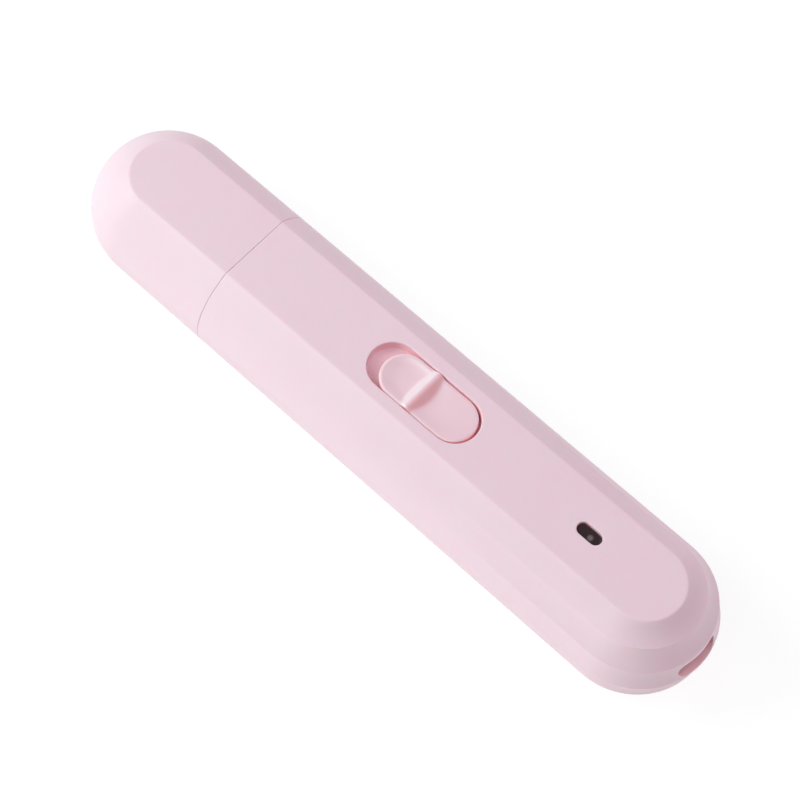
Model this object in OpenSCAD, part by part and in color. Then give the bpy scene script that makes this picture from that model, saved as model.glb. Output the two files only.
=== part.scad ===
/* [Body] */
// Overall length, nose to tail
overall_l = 148; // [148:1:160]
// Diameter of the dome at the nose
nose_d = 29.4; // [29.2:0.1:30]
// Diameter of the dome at the tail
tail_d = 30.6; // [30:0.1:31]
// Width of the flat facet along the top
top_flat_w = 15; // [14:0.5:15.5]
// Height of the long axis above the flat underside
axis_h = 12.9; // [12.8:0.1:13]
// Wall thickness on the round sides and domes
wall_t = 2.2; // [2:0.1:2.3]
// Wall thickness under the two flats
flat_wall_t = 2; // [1.8:0.1:2.1]

/* [Front cap] */
// Distance from the middle of the body to the cap joint
seam_x = 37.5; // [37:0.5:38]
// Gap between cap rim and housing
seam_gap = 0.1; // [0.08:0.01:0.2]
// Length of the spigot that the cap fits over
spigot_l = 6; // [6:0.5:7]
// Radius of the bore in the cap
cap_bore_r = 12.4; // [12.3:0.05:12.5]
// Half height of the bore in the cap, between its flats
cap_bore_h = 10.9; // [10.8:0.05:11]
// Clearance between spigot and cap, all round
cap_fit = 0.1; // [0.08:0.01:0.15]

/* [Slide button] */
// Middle of the recess, along the body
recess_x = 5; // [4.8:0.1:5.4]
// Length of the recess
recess_l = 25; // [24.8:0.1:25.2]
// Width of the recess
recess_w = 10; // [9.9:0.1:10.1]
// Depth of the recess
recess_depth = 2.4; // [2.2:0.1:2.5]
// Travel of the button from off to on
button_travel = 2.4; // [2.2:0.1:2.5]
// Gap between the button's long sides and the recess
button_gap = 0.16; // [0.14:0.01:0.25]
// Gap between the button's ends and the recess, at either end of its travel
button_end_gap = 0.6; // [0.5:0.05:0.7]
// Height of the cross ridge above the plate
ridge_h = 0.9; // [0.6:0.1:1.2]

/* [Window and port] */
// Middle of the lamp window, along the body
window_x = 45.2; // [45:0.1:45.4]
// Length of the window opening
window_l = 5.4; // [5:0.1:6]
// Width of the window opening
window_w = 2.7; // [2.4:0.1:3]
// Width of the charging slot in the tail
port_w = 9.8; // [9.6:0.1:10]
// Height of the charging slot
port_h = 3.7; // [3.6:0.1:4]

/* [Drive] */
// Length of the motor can
can_l = 27; // [26:0.5:27]
// Radius of the motor's round sides
can_r = 10.2; // [10:0.1:10.2]
// Half height of the motor between its flats
can_h = 7.7; // [7.6:0.1:7.8]
// Radius of the motor shaft
shaft_r = 1; // [1:0.1:1.1]
// Radius of the tool shank
shank_r = 1.175; // [1.1:0.005:1.2]
// Radius of the abrasive drum
drum_r = 5; // [4.5:0.1:5.5]
// Length of the abrasive drum
drum_l = 10; // [8:0.5:10]

/* [Battery and board] */
// Radius of the battery cell
cell_r = 6.9; // [6.5:0.05:6.9]
// Length of the battery cell
cell_l = 49.5; // [48:0.5:49.5]
// Height of the cell's axis above the body axis
cell_z = -3.5; // [-3.6:0.1:-3.5]
// Height of the underside of the circuit board above the body axis
board_z = 3.65; // [3.65:0.05:3.8]
// Thickness of the circuit board
board_t = 1; // [0.8:0.1:1.2]

/* [Hidden] */

$fn = 96;
FAR = 200;
EPS = 0.01;
nose_r = nose_d / 2;
tail_r = tail_d / 2;
nose_cx = nose_r - overall_l / 2;
tail_cx = overall_l / 2 - tail_r;
flank_tilt = asin((tail_r - nose_r) / (tail_cx - nose_cx));
top_nose_z = sqrt(nose_r * nose_r - top_flat_w * top_flat_w / 4);
top_tail_z = sqrt(tail_r * tail_r - top_flat_w * top_flat_w / 4);
top_tilt = atan((top_tail_z - top_nose_z) / (tail_cx - nose_cx));
// Height of the top facet above the axis, at a place along the body
function top_z(x) = top_nose_z + (x - nose_cx) * tan(top_tilt);

seam = -seam_x;
spigot_r = cap_bore_r - cap_fit;
spigot_h = cap_bore_h - cap_fit;
spigot_front = seam - spigot_l;
plug_l = 4.5;
neck_l = 3;
neck_r = 4.4;
shield_t = 1;
shield_r = 3.7;
shield_front = spigot_front - neck_l;
ring_x = spigot_front + 2.2;
ring_w = 1.2;
ring_depth = 0.8;
// Clearances: between two fixed parts, in a press fit, and round a shaft that turns
fixed_fit = 0.05;
frame_fit = 0.15;
press_fit = 0.01;
run_fit = 0.03;

motor_wall = 4;
motor_front = spigot_front + motor_wall;
motor_boss_l = 1.5;
motor_boss_r = 3;
can_wall = 0.8;
can_front_t = 1;
can_back = motor_front + can_l;
end_cap_l = 3.5;
end_cap_lip = 1.5;
motor_back = can_back + end_cap_l;
shaft_back = motor_back + 0.4;
bush_r = 2.2;
rotor_front = motor_front + 7.5;
rotor_l = 13;
rotor_r = can_h - can_wall - 0.3;
rotor_back = rotor_front + rotor_l;
rotor_hub_r = 2.3;
air_gap = 0.3;
tooth_r = 5.7;
tooth_w = 2.2;
pole_gap = 1;
magnet_h = 5.6;
magnet_end = 2;
commutator_r = 2.4;
commutator_x = rotor_back + 1.7;
commutator_l = 5;
slit_w = 0.4;
brush_gap = 0.05;
brush_h = 1.8;
brush_w = 1.6;
washer_r = 1.8;
terminal_z = 4.5;
terminal_t = 0.4;
terminal_w = 1.7;
terminal_back = motor_back + 1.6;

chuck_r = 2.6;
chuck_l = 9;
chuck_gap = 0.5;
chuck_back = spigot_front + 1.5;
chuck_front = chuck_back - chuck_l;
shank_split = chuck_back - 4.5;
drum_back = chuck_front - 1.5;
drum_front = drum_back - drum_l;
drum_edge = 1;
band_t = 0.8;

// Screws: place, thread radius, head radius, head length and thread length
motor_screw_y = 6.6;
motor_screw_r = 1;
motor_head_r = 1.8;
motor_head_l = 1.2;
motor_screw_l = 4.4;
frame_screw_z = 9.1;
frame_screw_r = 0.8;
frame_head_r = 1.4;
frame_head_l = 1.1;
frame_screw_l = 14;
screw_sink = 0.1;
head_gap = 0.2;

cell_front = motor_back + 4.5;
cell_back = cell_front + cell_l;
cell_button_r = 2.5;
cell_button_l = 0.8;
sleeve_t = 0.1;
tab_t = 0.15;
tab_w = 2.5;
bulkhead_t = 1.5;
frame_front = seam + plug_l + 0.2;
tunnel_end = motor_back + 0.1;
frame_back = cell_back + 0.5 + bulkhead_t;
board_front = cell_front + 0.5;
board_back = 69.8;
board_w = 14;
board_neck_x = 67.5;
board_neck_w = 9.2;
board_top = board_z + board_t;
// Chips on the board: first and last station, width, height, distance across
chips = [
    [24, 29, 4, 1.5, 0], [33, 36, 3, 1.1, 3], [33, 35, 1.3, 0.8, -3],
    [51, 54.5, 3, 1.1, 0], [39, 40.6, 0.9, 0.6, -3.5], [39, 40.6, 0.9, 0.6, -1.5],
];
capacitor_x = 59.5;
capacitor_r = 2.6;
capacitor_h = 3.6;

floor_z = top_z(recess_x) - recess_depth;
well_wall_t = 1.8;
well_floor_t = 1.2;
button_l = recess_l - button_travel - 2 * button_end_gap;
button_w = recess_w - 2 * button_gap;
button_x = recess_x + recess_l / 2 - button_end_gap - button_l / 2;
button_front = button_x - button_l / 2;
button_base_z = floor_z + 0.25;
button_top_z = top_z(recess_x) - 0.35;
button_rim = 0.75;
ridge_w = 1.8;
dish_r = 3.6;
dish_depth = 0.5;
ridge_x = button_front + button_rim + 2 * dish_r + ridge_w / 2;
dish_l = button_front + button_l - button_rim - ridge_x - ridge_w / 2;
stem_l = 4.2;
stem_w = 3;
stem_foot_w = 4.2;
stem_foot_t = 0.6;
stem_gap = 0.3;
switch_l = 8.6;
switch_w = 3.7;
switch_h = 3.5;
switch_x = button_x - button_travel / 2;
switch_top = board_top + switch_h;
switch_skin = 0.25;
switch_base_h = 1.2;
slot_end = button_travel / 2 + 0.2;
stem_foot_z = switch_top + 0.3;
stub_l = 2;
stub_w = 1.4;
stub_top = floor_z - 0.1;
stub_fit = 0.1;
stub_foot_l = 3.6;
stub_foot_w = 2.8;
pin_pitch = 2.5;
pin_r = 0.4;

usb_w = 8.94;
usb_h = 3.26;
usb_l = 7.35;
usb_skin = 0.3;
usb_mouth = 72.2;
usb_back_t = 1;
usb_z = board_z - usb_h / 2;
tongue_w = 6.7;
tongue_t = 0.7;
lens_top = top_z(window_x) - 0.5;
lens_flange_top = top_z(window_x) - flat_wall_t - 0.1;
lens_flange_t = 0.8;
lens_flange_w = 1;
lamp_l = 3.2;
lamp_w = 1.6;
lamp_h = 1;
pipe_base_l = 7;
pipe_base_w = 4.4;
pipe_base_h = 1.8;

wire_r = 0.45;
bend_r = 1.2;
wire_y = 5.2;

// Lifts a part drawn about the body axis to its height above the underside
module on_axis() {
    translate([0, 0, axis_h]) children();
}

// Solid cylinder along the body, between two stations
module rod(x0, x1, r, y = 0, z = 0) {
    translate([x0, y, z]) rotate([0, 90, 0]) cylinder(h = x1 - x0, r = r);
}

// Box between two stations, centred on a height
module bar(x0, x1, w, z0, z1, y = 0) {
    translate([x0, y - w / 2, z0]) cube([x1 - x0, w, z1 - z0]);
}

// Upright prism with a pill outline
module pill(l, w, z0, z1, x = 0) {
    translate([x, 0, z0]) linear_extrude(z1 - z0) union() {
        square([l - w, w], center = true);
        for (side = [-1, 1]) translate([side * (l - w) / 2, 0]) circle(d = w);
    }
}

// Prism with a pill section along the body
module port_prism(x0, x1, w, h, z) {
    translate([x0, 0, z]) rotate([90, 0, 90]) linear_extrude(x1 - x0) union() {
        square([w - h, h], center = true);
        for (side = [-1, 1]) translate([side * (w - h) / 2, 0]) circle(d = h);
    }
}

// Round bar with two flats, along the body
module flatted_bar(x0, x1, r, half_h) {
    intersection() {
        rod(x0, x1, r);
        bar(x0 - 1, x1 + 1, 4 * r, -half_h, half_h);
    }
}

// Half of the long section: two arcs joined by their common tangent
module half_outline(inset) {
    rn = nose_r - inset;
    rt = tail_r - inset;
    intersection() {
        union() {
            translate([0, nose_cx]) circle(r = rn);
            polygon([
                [0, nose_cx],
                [rn * cos(flank_tilt), nose_cx - rn * sin(flank_tilt)],
                [rt * cos(flank_tilt), tail_cx - rt * sin(flank_tilt)],
                [0, tail_cx],
            ]);
            translate([0, tail_cx]) circle(r = rt);
        }
        translate([0, -FAR / 2]) square([FAR, FAR]);
    }
}

// Body form, cut by the flat underside and the flat top, shrunk by two insets
module body_form(inset, flat_inset) {
    intersection() {
        rotate([0, 90, 0]) rotate_extrude() half_outline(inset);
        translate([-FAR / 2, -FAR / 2, flat_inset - axis_h]) cube(FAR);
        translate([nose_cx, 0, top_nose_z - flat_inset]) rotate([0, -top_tilt, 0])
            translate([-FAR / 2, -FAR / 2, -FAR]) cube([2 * FAR, FAR, FAR]);
    }
}

// Part of the body form between two stations
module body_slice(x0, x1, inset, flat_inset) {
    intersection() {
        body_form(inset, flat_inset);
        bar(x0, x1, FAR, -FAR / 2, FAR / 2);
    }
}

module housing() {
    slot_l = stem_l + button_travel + 2 * stem_gap;
    color("#EBD0DA") on_axis() difference() {
        union() {
            difference() {
                body_slice(seam, FAR / 2, 0, 0);
                body_slice(seam - 1, FAR / 2, wall_t, flat_wall_t);
            }
            pill(recess_l + 2 * well_wall_t, recess_w + 2 * well_wall_t,
                floor_z - well_floor_t, floor_z + 1, recess_x);
        }
        pill(recess_l, recess_w, floor_z, FAR / 2, recess_x);
        bar(switch_x - slot_l / 2, switch_x + slot_l / 2, stem_w + 2 * stem_gap, 0, floor_z + 1);
        pill(window_l, window_w, board_top, FAR / 2, window_x);
        port_prism(tail_cx, FAR / 2, port_w, port_h, usb_z);
    }
}

module front_cap() {
    color("#EBD0DA") on_axis() difference() {
        body_slice(-FAR / 2, seam - seam_gap, 0, 0);
        intersection() {
            rotate([0, 90, 0]) rotate_extrude() intersection() {
                union() {
                    translate([0, nose_cx]) circle(r = cap_bore_r);
                    translate([0, nose_cx]) square([cap_bore_r, seam + 1 - nose_cx]);
                }
                translate([0, -FAR / 2]) square([FAR, FAR]);
            }
            bar(-FAR / 2, FAR / 2, FAR, -cap_bore_h, cap_bore_h);
        }
    }
}

// Hole for one screw of the collar, with a seat for its head
module screw_hole(thread_r, head_r, head_l, y, z) {
    rod(spigot_front - 1, 0, thread_r + fixed_fit, y, z);
    rod(spigot_front - 1, spigot_front + screw_sink + head_l, head_r + head_gap, y, z);
}

module nose_collar() {
    color("#E6E2E0") on_axis() difference() {
        union() {
            body_slice(seam, seam + plug_l, wall_t + fixed_fit, flat_wall_t + fixed_fit);
            flatted_bar(spigot_front, seam, spigot_r, spigot_h);
            rod(shield_front, spigot_front, neck_r);
        }
        difference() {
            bar(ring_x, ring_x + ring_w, FAR, -FAR / 2, FAR / 2);
            flatted_bar(ring_x - 1, ring_x + ring_w + 1, spigot_r - ring_depth, spigot_h - ring_depth);
        }
        flatted_bar(motor_front, 0, can_r + frame_fit, can_h + frame_fit);
        rod(-FAR / 2, 0, chuck_r + chuck_gap);
        rod(-FAR / 2, shield_front + shield_t, shield_r);
        for (side = [-1, 1]) {
            screw_hole(motor_screw_r, motor_head_r, motor_head_l, side * motor_screw_y, 0);
            screw_hole(frame_screw_r, frame_head_r, frame_head_l, 0, side * frame_screw_z);
        }
    }
}

module cap_seal_ring() {
    color("#B9B4B4") on_axis() difference() {
        flatted_bar(ring_x, ring_x + ring_w, spigot_r + fixed_fit, spigot_h + fixed_fit);
        flatted_bar(ring_x - 1, ring_x + ring_w + 1, spigot_r - ring_depth, spigot_h - ring_depth);
    }
}

module dust_shield() {
    color("#4A4648") on_axis() difference() {
        rod(shield_front, shield_front + shield_t, shield_r);
        rod(shield_front - 1, shield_front + shield_t + 1, chuck_r + fixed_fit * 2);
    }
}

// Cross-head screw in its seat in the collar
module screw(thread_r, head_r, head_l, thread_l, y, z) {
    x = spigot_front + screw_sink;
    cross_w = 0.7;
    difference() {
        union() {
            rod(x, x + head_l, head_r, y, z);
            rod(x + head_l, x + head_l + thread_l, thread_r, y, z);
        }
        for (turn = [0, 90]) translate([x, y, z]) rotate([turn, 0, 0])
            bar(-1, head_l / 2, cross_w / 2, -cross_w * head_r, cross_w * head_r);
    }
}

module motor_screws() {
    color("#B8BABD") on_axis() for (side = [-1, 1])
        screw(motor_screw_r, motor_head_r, motor_head_l, motor_screw_l, side * motor_screw_y, 0);
}

module frame_screws() {
    color("#B8BABD") on_axis() for (side = [-1, 1])
        screw(frame_screw_r, frame_head_r, frame_head_l, frame_screw_l, 0, side * frame_screw_z);
}

module grinding_band() {
    hub_lip = 0.5;
    color("#8C8A88") on_axis() difference() {
        rod(drum_front + hub_lip, drum_back - hub_lip, drum_r);
        rod(drum_front - 1, drum_back + 1, drum_r - band_t);
    }
}

module drum_hub() {
    hub_r = drum_r - band_t - press_fit;
    color("#C9CACC") on_axis() difference() {
        translate([drum_back, 0, 0]) rotate([0, -90, 0]) rotate_extrude() {
            square([hub_r, drum_l - drum_edge]);
            square([hub_r - drum_edge, drum_l]);
            translate([hub_r - drum_edge, drum_l - drum_edge]) circle(r = drum_edge);
        }
        rod(drum_front + 2 * drum_edge, FAR, shank_r + press_fit);
    }
}

module bit_shank() {
    color("#C9CACC") on_axis() rod(drum_front + 2 * drum_edge + 0.1, shank_split - 0.1, shank_r);
}

module chuck() {
    color("#C9A85C") on_axis() difference() {
        rod(chuck_front, chuck_back, chuck_r);
        rod(shank_split, FAR, shaft_r + press_fit);
        rod(-FAR, shank_split, shank_r + press_fit);
    }
}

module motor_shaft() {
    color("#C9CACC") on_axis() rod(shank_split + 0.1, shaft_back, shaft_r);
}

module motor_can() {
    color("#B4B6B9") on_axis() difference() {
        union() {
            flatted_bar(motor_front, can_back, can_r, can_h);
            rod(motor_front - motor_boss_l, motor_front + can_front_t, motor_boss_r);
        }
        flatted_bar(motor_front + can_front_t, FAR, can_r - can_wall, can_h - can_wall);
        rod(-FAR, 0, bush_r + press_fit);
        for (side = [-1, 1]) rod(-FAR / 2, 0, motor_screw_r + press_fit, side * motor_screw_y);
    }
}

module motor_end_cap() {
    inset = can_wall + fixed_fit;
    brush_room_r = 6.2;
    slot_w = terminal_w + 0.4;
    slot_h = terminal_t + 0.3;
    color("#2A2A2D") on_axis() difference() {
        union() {
            flatted_bar(can_back, motor_back, can_r, can_h);
            flatted_bar(can_back - end_cap_lip, can_back, can_r - inset, can_h - inset);
        }
        rod(-FAR, can_back + 0.8, brush_room_r);
        rod(-FAR, FAR, bush_r + press_fit);
        for (side = [-1, 1])
            bar(can_back - 2 * end_cap_lip, FAR, slot_w,
                side * terminal_z - slot_h / 2, side * terminal_z + slot_h / 2);
    }
}

module motor_magnets() {
    color("#55555A") on_axis() intersection() {
        difference() {
            rod(rotor_front - magnet_end, rotor_back + magnet_end, can_r - can_wall - press_fit);
            rod(rotor_front - 2 * magnet_end, rotor_back + 2 * magnet_end, rotor_r + air_gap);
        }
        bar(-FAR, FAR, FAR, -magnet_h, magnet_h);
    }
}

// Section of the gaps between the three poles
module pole_gaps(width) {
    for (turn = [0:120:240]) rotate(turn) translate([0, -width / 2]) square([FAR, width]);
}

// Section of the three teeth that carry the windings
module pole_teeth(width) {
    for (turn = [60:120:300]) rotate(turn) translate([0, -width / 2]) square([tooth_r, width]);
}

// Prism along the body from a section drawn across it
module along(x0, x1) {
    translate([x0, 0, 0]) rotate([90, 0, 90]) linear_extrude(x1 - x0) children();
}

module rotor_core() {
    color("#6E6F73") on_axis() along(rotor_front, rotor_back) difference() {
        union() {
            difference() {
                circle(r = rotor_r);
                circle(r = tooth_r - 0.5);
                pole_gaps(pole_gap);
            }
            pole_teeth(tooth_w);
            circle(r = rotor_hub_r);
        }
        circle(r = shaft_r + press_fit);
    }
}

module rotor_windings() {
    coil_in = rotor_hub_r + 0.1;
    coil_out = tooth_r - 0.6;
    coil_gap = 0.8;
    end_turn = 1.1;
    color("#B5652E") on_axis() {
        for (x = [rotor_front - end_turn - fixed_fit, rotor_back + fixed_fit])
            along(x, x + end_turn) difference() {
                circle(r = coil_out);
                circle(r = coil_in);
                pole_gaps(coil_gap);
            }
        along(rotor_front - fixed_fit, rotor_back + fixed_fit) difference() {
            circle(r = coil_out);
            circle(r = coil_in);
            pole_gaps(coil_gap);
            pole_teeth(tooth_w + 0.2);
        }
    }
}

module commutator() {
    color("#B9713A") on_axis() along(commutator_x, commutator_x + commutator_l) difference() {
        circle(r = commutator_r);
        circle(r = shaft_r + press_fit);
        for (turn = [0:120:240]) rotate(turn) translate([commutator_r - 0.6, -slit_w / 2])
            square([1, slit_w]);
    }
}

module motor_brushes() {
    brush_l = 1.8;
    color("#3A3A3C") on_axis() for (side = [-1, 1]) {
        z = side * (commutator_r + brush_gap + brush_h / 2);
        bar(commutator_x + 1, commutator_x + 1 + brush_l, brush_w, z - brush_h / 2, z + brush_h / 2);
    }
}

module motor_terminals() {
    half_t = terminal_t / 2;
    plate_w = 6;
    plate_y = 2.9;
    color("#C9A85C") on_axis() {
        for (side = [-1, 1])
            bar(commutator_x + 1, terminal_back, terminal_w,
                side * terminal_z - half_t, side * terminal_z + half_t);
        bar(terminal_back - terminal_t, terminal_back, plate_w,
            -terminal_z - half_t, -terminal_z + half_t, plate_y);
    }
}

module front_bush() {
    color("#A9793F") on_axis() difference() {
        rod(motor_front - motor_boss_l, motor_front + 2, bush_r);
        rod(-FAR, FAR, shaft_r + run_fit);
    }
}

module rear_bush() {
    color("#A9793F") on_axis() difference() {
        rod(can_back + 0.9, motor_back - 0.3, bush_r);
        rod(-FAR, FAR, shaft_r + run_fit);
    }
}

module thrust_washers() {
    commutator_back = commutator_x + commutator_l;
    color("#E8E4D8") on_axis() difference() {
        union() {
            rod(motor_front + 2.1, motor_front + 2.5, washer_r);
            rod(commutator_back + fixed_fit, commutator_back + fixed_fit + 0.3, washer_r);
        }
        rod(-FAR, FAR, shaft_r + press_fit);
    }
}

module inner_frame() {
    cradle_r = cell_r + sleeve_t + 0.1;
    cradle_front = cell_front - 0.3;
    cradle_back = cell_back + 0.5;
    terminal_room_w = 18;
    terminal_room_z = 7.2;
    color("#DAD6D4") on_axis() difference() {
        body_slice(frame_front, frame_back, wall_t + frame_fit, flat_wall_t + frame_fit);
        flatted_bar(frame_front - 1, tunnel_end, can_r + frame_fit, can_h + frame_fit);
        bar(tunnel_end, FAR, FAR, board_z, FAR);
        bar(tunnel_end - EPS, cell_front - bulkhead_t, terminal_room_w, -terminal_room_z, FAR);
        rod(cradle_front, cradle_back, cradle_r, 0, cell_z);
        bar(cradle_front, cradle_back, 2 * cell_r - 2, cell_z, FAR);
        bar(cell_front + 2 * bulkhead_t, cell_back - 2 * bulkhead_t, cell_r, -FAR / 2, cell_z);
        bar(tunnel_end - EPS, cell_front, 2 * bulkhead_t, cell_z + 2, FAR);
        for (side = [-1, 1])
            rod(frame_front - 1, frame_front + frame_screw_l - 2, frame_screw_r + press_fit,
                0, side * frame_screw_z);
    }
}

module battery_cell() {
    color("#A9ABAE") on_axis() {
        rod(cell_front, cell_back - cell_button_l, cell_r, 0, cell_z);
        rod(cell_back - cell_button_l, cell_back, cell_button_r, 0, cell_z);
    }
}

module battery_sleeve() {
    color("#2F6FB0") on_axis() difference() {
        rod(cell_front, cell_back - cell_button_l, cell_r + sleeve_t, 0, cell_z);
        rod(cell_front - 1, cell_back + 1, cell_r + press_fit, 0, cell_z);
    }
}

module battery_tabs() {
    color("#D2D2CE") on_axis()
        for (x = [cell_front - tab_t - EPS, cell_back + EPS])
            bar(x, x + tab_t, tab_w, cell_z - 2, board_z);
}

module circuit_board() {
    color("#1F6B45") on_axis() difference() {
        union() {
            bar(board_front, board_neck_x, board_w, board_z, board_top);
            bar(board_neck_x - 1, board_back, board_neck_w, board_z, board_top);
        }
        for (step = [-1:1])
            translate([switch_x + step * pin_pitch, 0, board_z - 1]) cylinder(h = 3, r = pin_r + fixed_fit);
    }
}

module board_chips() {
    color("#1C1C1E") on_axis() {
        for (chip = chips) bar(chip[0], chip[1], chip[2], board_top, board_top + chip[3], chip[4]);
        translate([capacitor_x, 0, board_top]) cylinder(h = capacitor_h, r = capacitor_r);
    }
}

module switch_base() {
    base_l = switch_l - 2 * switch_skin - 2 * fixed_fit;
    base_w = switch_w - 2 * switch_skin - 2 * fixed_fit;
    color("#26262A") on_axis() {
        bar(switch_x - base_l / 2, switch_x + base_l / 2, base_w, board_top, board_top + switch_base_h);
        for (step = [-1:1])
            translate([switch_x + step * pin_pitch, 0, board_z]) cylinder(h = board_t, r = pin_r);
    }
}

module switch_frame() {
    inner_l = switch_l - 2 * switch_skin;
    inner_w = switch_w - 2 * switch_skin;
    slot_l = stub_l + 2 * slot_end;
    color("#C4C6C8") on_axis() difference() {
        bar(switch_x - switch_l / 2, switch_x + switch_l / 2, switch_w, board_top, switch_top);
        bar(switch_x - inner_l / 2, switch_x + inner_l / 2, inner_w, 0, switch_top - switch_skin);
        bar(switch_x - slot_l / 2, switch_x + slot_l / 2, stub_w + 4 * stub_fit, 0, FAR);
    }
}

module switch_actuator() {
    foot_z = board_top + switch_base_h + 0.2;
    color("#2A2A2D") on_axis() {
        bar(button_x - stub_foot_l / 2, button_x + stub_foot_l / 2, stub_foot_w,
            foot_z, switch_top - switch_skin - 0.2);
        bar(button_x - stub_l / 2, button_x + stub_l / 2, stub_w, switch_top - 1, stub_top);
    }
}

module slide_button() {
    color("#E6C8D2") on_axis() difference() {
        union() {
            pill(button_l, button_w, button_base_z, button_top_z, button_x);
            ridge();
            bar(button_x - stem_l / 2, button_x + stem_l / 2, stem_w, stem_foot_z, button_base_z + 0.5);
            bar(button_x - stem_l / 2, button_x + stem_l / 2, stem_foot_w,
                stem_foot_z, stem_foot_z + stem_foot_t);
        }
        translate([ridge_x - ridge_w / 2 - dish_r, 0, button_top_z - dish_depth])
            cylinder(h = FAR, r = dish_r);
        pill(dish_l, 2 * dish_r, button_top_z - dish_depth, FAR, ridge_x + ridge_w / 2 + dish_l / 2);
        bar(button_x - stub_l / 2 - stub_fit, button_x + stub_l / 2 + stub_fit, stub_w + 2 * stub_fit,
            0, stub_top + stub_fit);
    }
}

// Cross ridge of the button: a low round bar let into the plate
module ridge() {
    ridge_r = (ridge_w * ridge_w / 4 + ridge_h * ridge_h) / (2 * ridge_h);
    intersection() {
        translate([ridge_x, button_w / 2, button_top_z + ridge_h - ridge_r]) rotate([90, 0, 0])
            cylinder(h = button_w, r = ridge_r);
        pill(button_l, button_w, button_top_z - 0.5, FAR, button_x);
        bar(ridge_x - ridge_w / 2, ridge_x + ridge_w / 2, FAR, 0, FAR);
    }
}

module usb_shell() {
    usb_back = usb_mouth - usb_l;
    color("#C4C6C8") on_axis() difference() {
        port_prism(usb_back, usb_mouth, usb_w, usb_h, usb_z);
        port_prism(usb_back + usb_back_t, FAR, usb_w - 2 * usb_skin, usb_h - 2 * usb_skin, usb_z);
    }
}

module usb_tongue() {
    color("#1C1C1E") on_axis()
        bar(usb_mouth - usb_l + usb_back_t, usb_mouth - tongue_t, tongue_w,
            usb_z - tongue_t / 2, usb_z + tongue_t / 2);
}

module indicator_led() {
    color("#F4F1E4") on_axis()
        bar(window_x - lamp_l / 2, window_x + lamp_l / 2, lamp_w, board_top, board_top + lamp_h);
}

module light_pipe() {
    pipe_l = window_l - 0.8;
    pipe_w = window_w - 0.7;
    lamp_gap = 0.2;
    color("#E9EEF0") on_axis() difference() {
        union() {
            pill(pipe_base_l, pipe_base_w, board_top, board_top + pipe_base_h, window_x);
            pill(pipe_l, pipe_w, board_top + pipe_base_h - 0.1,
                lens_flange_top - lens_flange_t - fixed_fit, window_x);
        }
        bar(window_x - lamp_l / 2 - lamp_gap, window_x + lamp_l / 2 + lamp_gap, lamp_w + 2 * lamp_gap,
            0, board_top + lamp_h + lamp_gap);
    }
}

module led_window() {
    color("#3A2D33") on_axis() {
        pill(window_l + 2 * lens_flange_w, window_w + 2 * lens_flange_w,
            lens_flange_top - lens_flange_t, lens_flange_top, window_x);
        pill(window_l - 2 * fixed_fit, window_w - 2 * fixed_fit, lens_flange_top, lens_top, window_x);
    }
}

module motor_wires() {
    wire_gap = wire_r + 0.02;
    wire_z = board_top + wire_gap;
    tab_x = terminal_back + wire_gap;
    wire_end = board_front + 4;
    color("#B02A2A") on_axis() {
        rod(motor_back + 0.2, wire_end, wire_r, 0, wire_z);
        translate([tab_x, wire_y, -terminal_z]) cylinder(h = wire_z - bend_r + terminal_z, r = wire_r);
        translate([tab_x + bend_r, wire_y, wire_z - bend_r]) rotate([90, 0, 0]) rotate([0, 0, 90])
            rotate_extrude(angle = 90) translate([bend_r, 0]) circle(r = wire_r);
        rod(tab_x + bend_r, wire_end, wire_r, wire_y, wire_z);
    }
}

housing();
front_cap();
nose_collar();
cap_seal_ring();
dust_shield();
grinding_band();
drum_hub();
bit_shank();
chuck();
motor_shaft();
motor_can();
motor_end_cap();
motor_magnets();
rotor_core();
rotor_windings();
commutator();
motor_brushes();
motor_terminals();
front_bush();
rear_bush();
thrust_washers();
motor_screws();
inner_frame();
frame_screws();
battery_cell();
battery_sleeve();
battery_tabs();
circuit_board();
board_chips();
switch_base();
switch_frame();
switch_actuator();
slide_button();
usb_shell();
usb_tongue();
indicator_led();
light_pipe();
led_window();
motor_wires();
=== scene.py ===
import math
from math import asin, cos, pi, radians, sin, sqrt

import bmesh
import bpy
from mathutils import Matrix, Vector, noise


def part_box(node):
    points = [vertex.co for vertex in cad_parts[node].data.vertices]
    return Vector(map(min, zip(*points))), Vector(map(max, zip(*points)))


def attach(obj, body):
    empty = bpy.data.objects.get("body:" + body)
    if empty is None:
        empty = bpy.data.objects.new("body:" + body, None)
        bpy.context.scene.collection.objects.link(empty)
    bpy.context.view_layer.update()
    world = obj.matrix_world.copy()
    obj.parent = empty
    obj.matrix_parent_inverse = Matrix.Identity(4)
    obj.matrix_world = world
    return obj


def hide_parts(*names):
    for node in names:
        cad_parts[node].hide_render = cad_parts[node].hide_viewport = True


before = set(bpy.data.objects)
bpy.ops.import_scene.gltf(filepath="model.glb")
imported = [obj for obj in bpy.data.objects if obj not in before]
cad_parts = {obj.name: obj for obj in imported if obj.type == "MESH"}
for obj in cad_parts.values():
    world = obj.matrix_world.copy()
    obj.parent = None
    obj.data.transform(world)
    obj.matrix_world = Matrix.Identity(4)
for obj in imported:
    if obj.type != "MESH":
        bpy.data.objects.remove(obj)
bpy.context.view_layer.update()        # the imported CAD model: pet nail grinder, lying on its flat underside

MM = 0.001
SHARP_ANGLE = 38


def middle(node):
    """Middle of a CAD node's box at rest."""
    low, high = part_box(node)
    return (low + high) / 2


def half(node):
    """Half the sides of a CAD node's box at rest."""
    low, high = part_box(node)
    return (high - low) / 2


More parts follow.
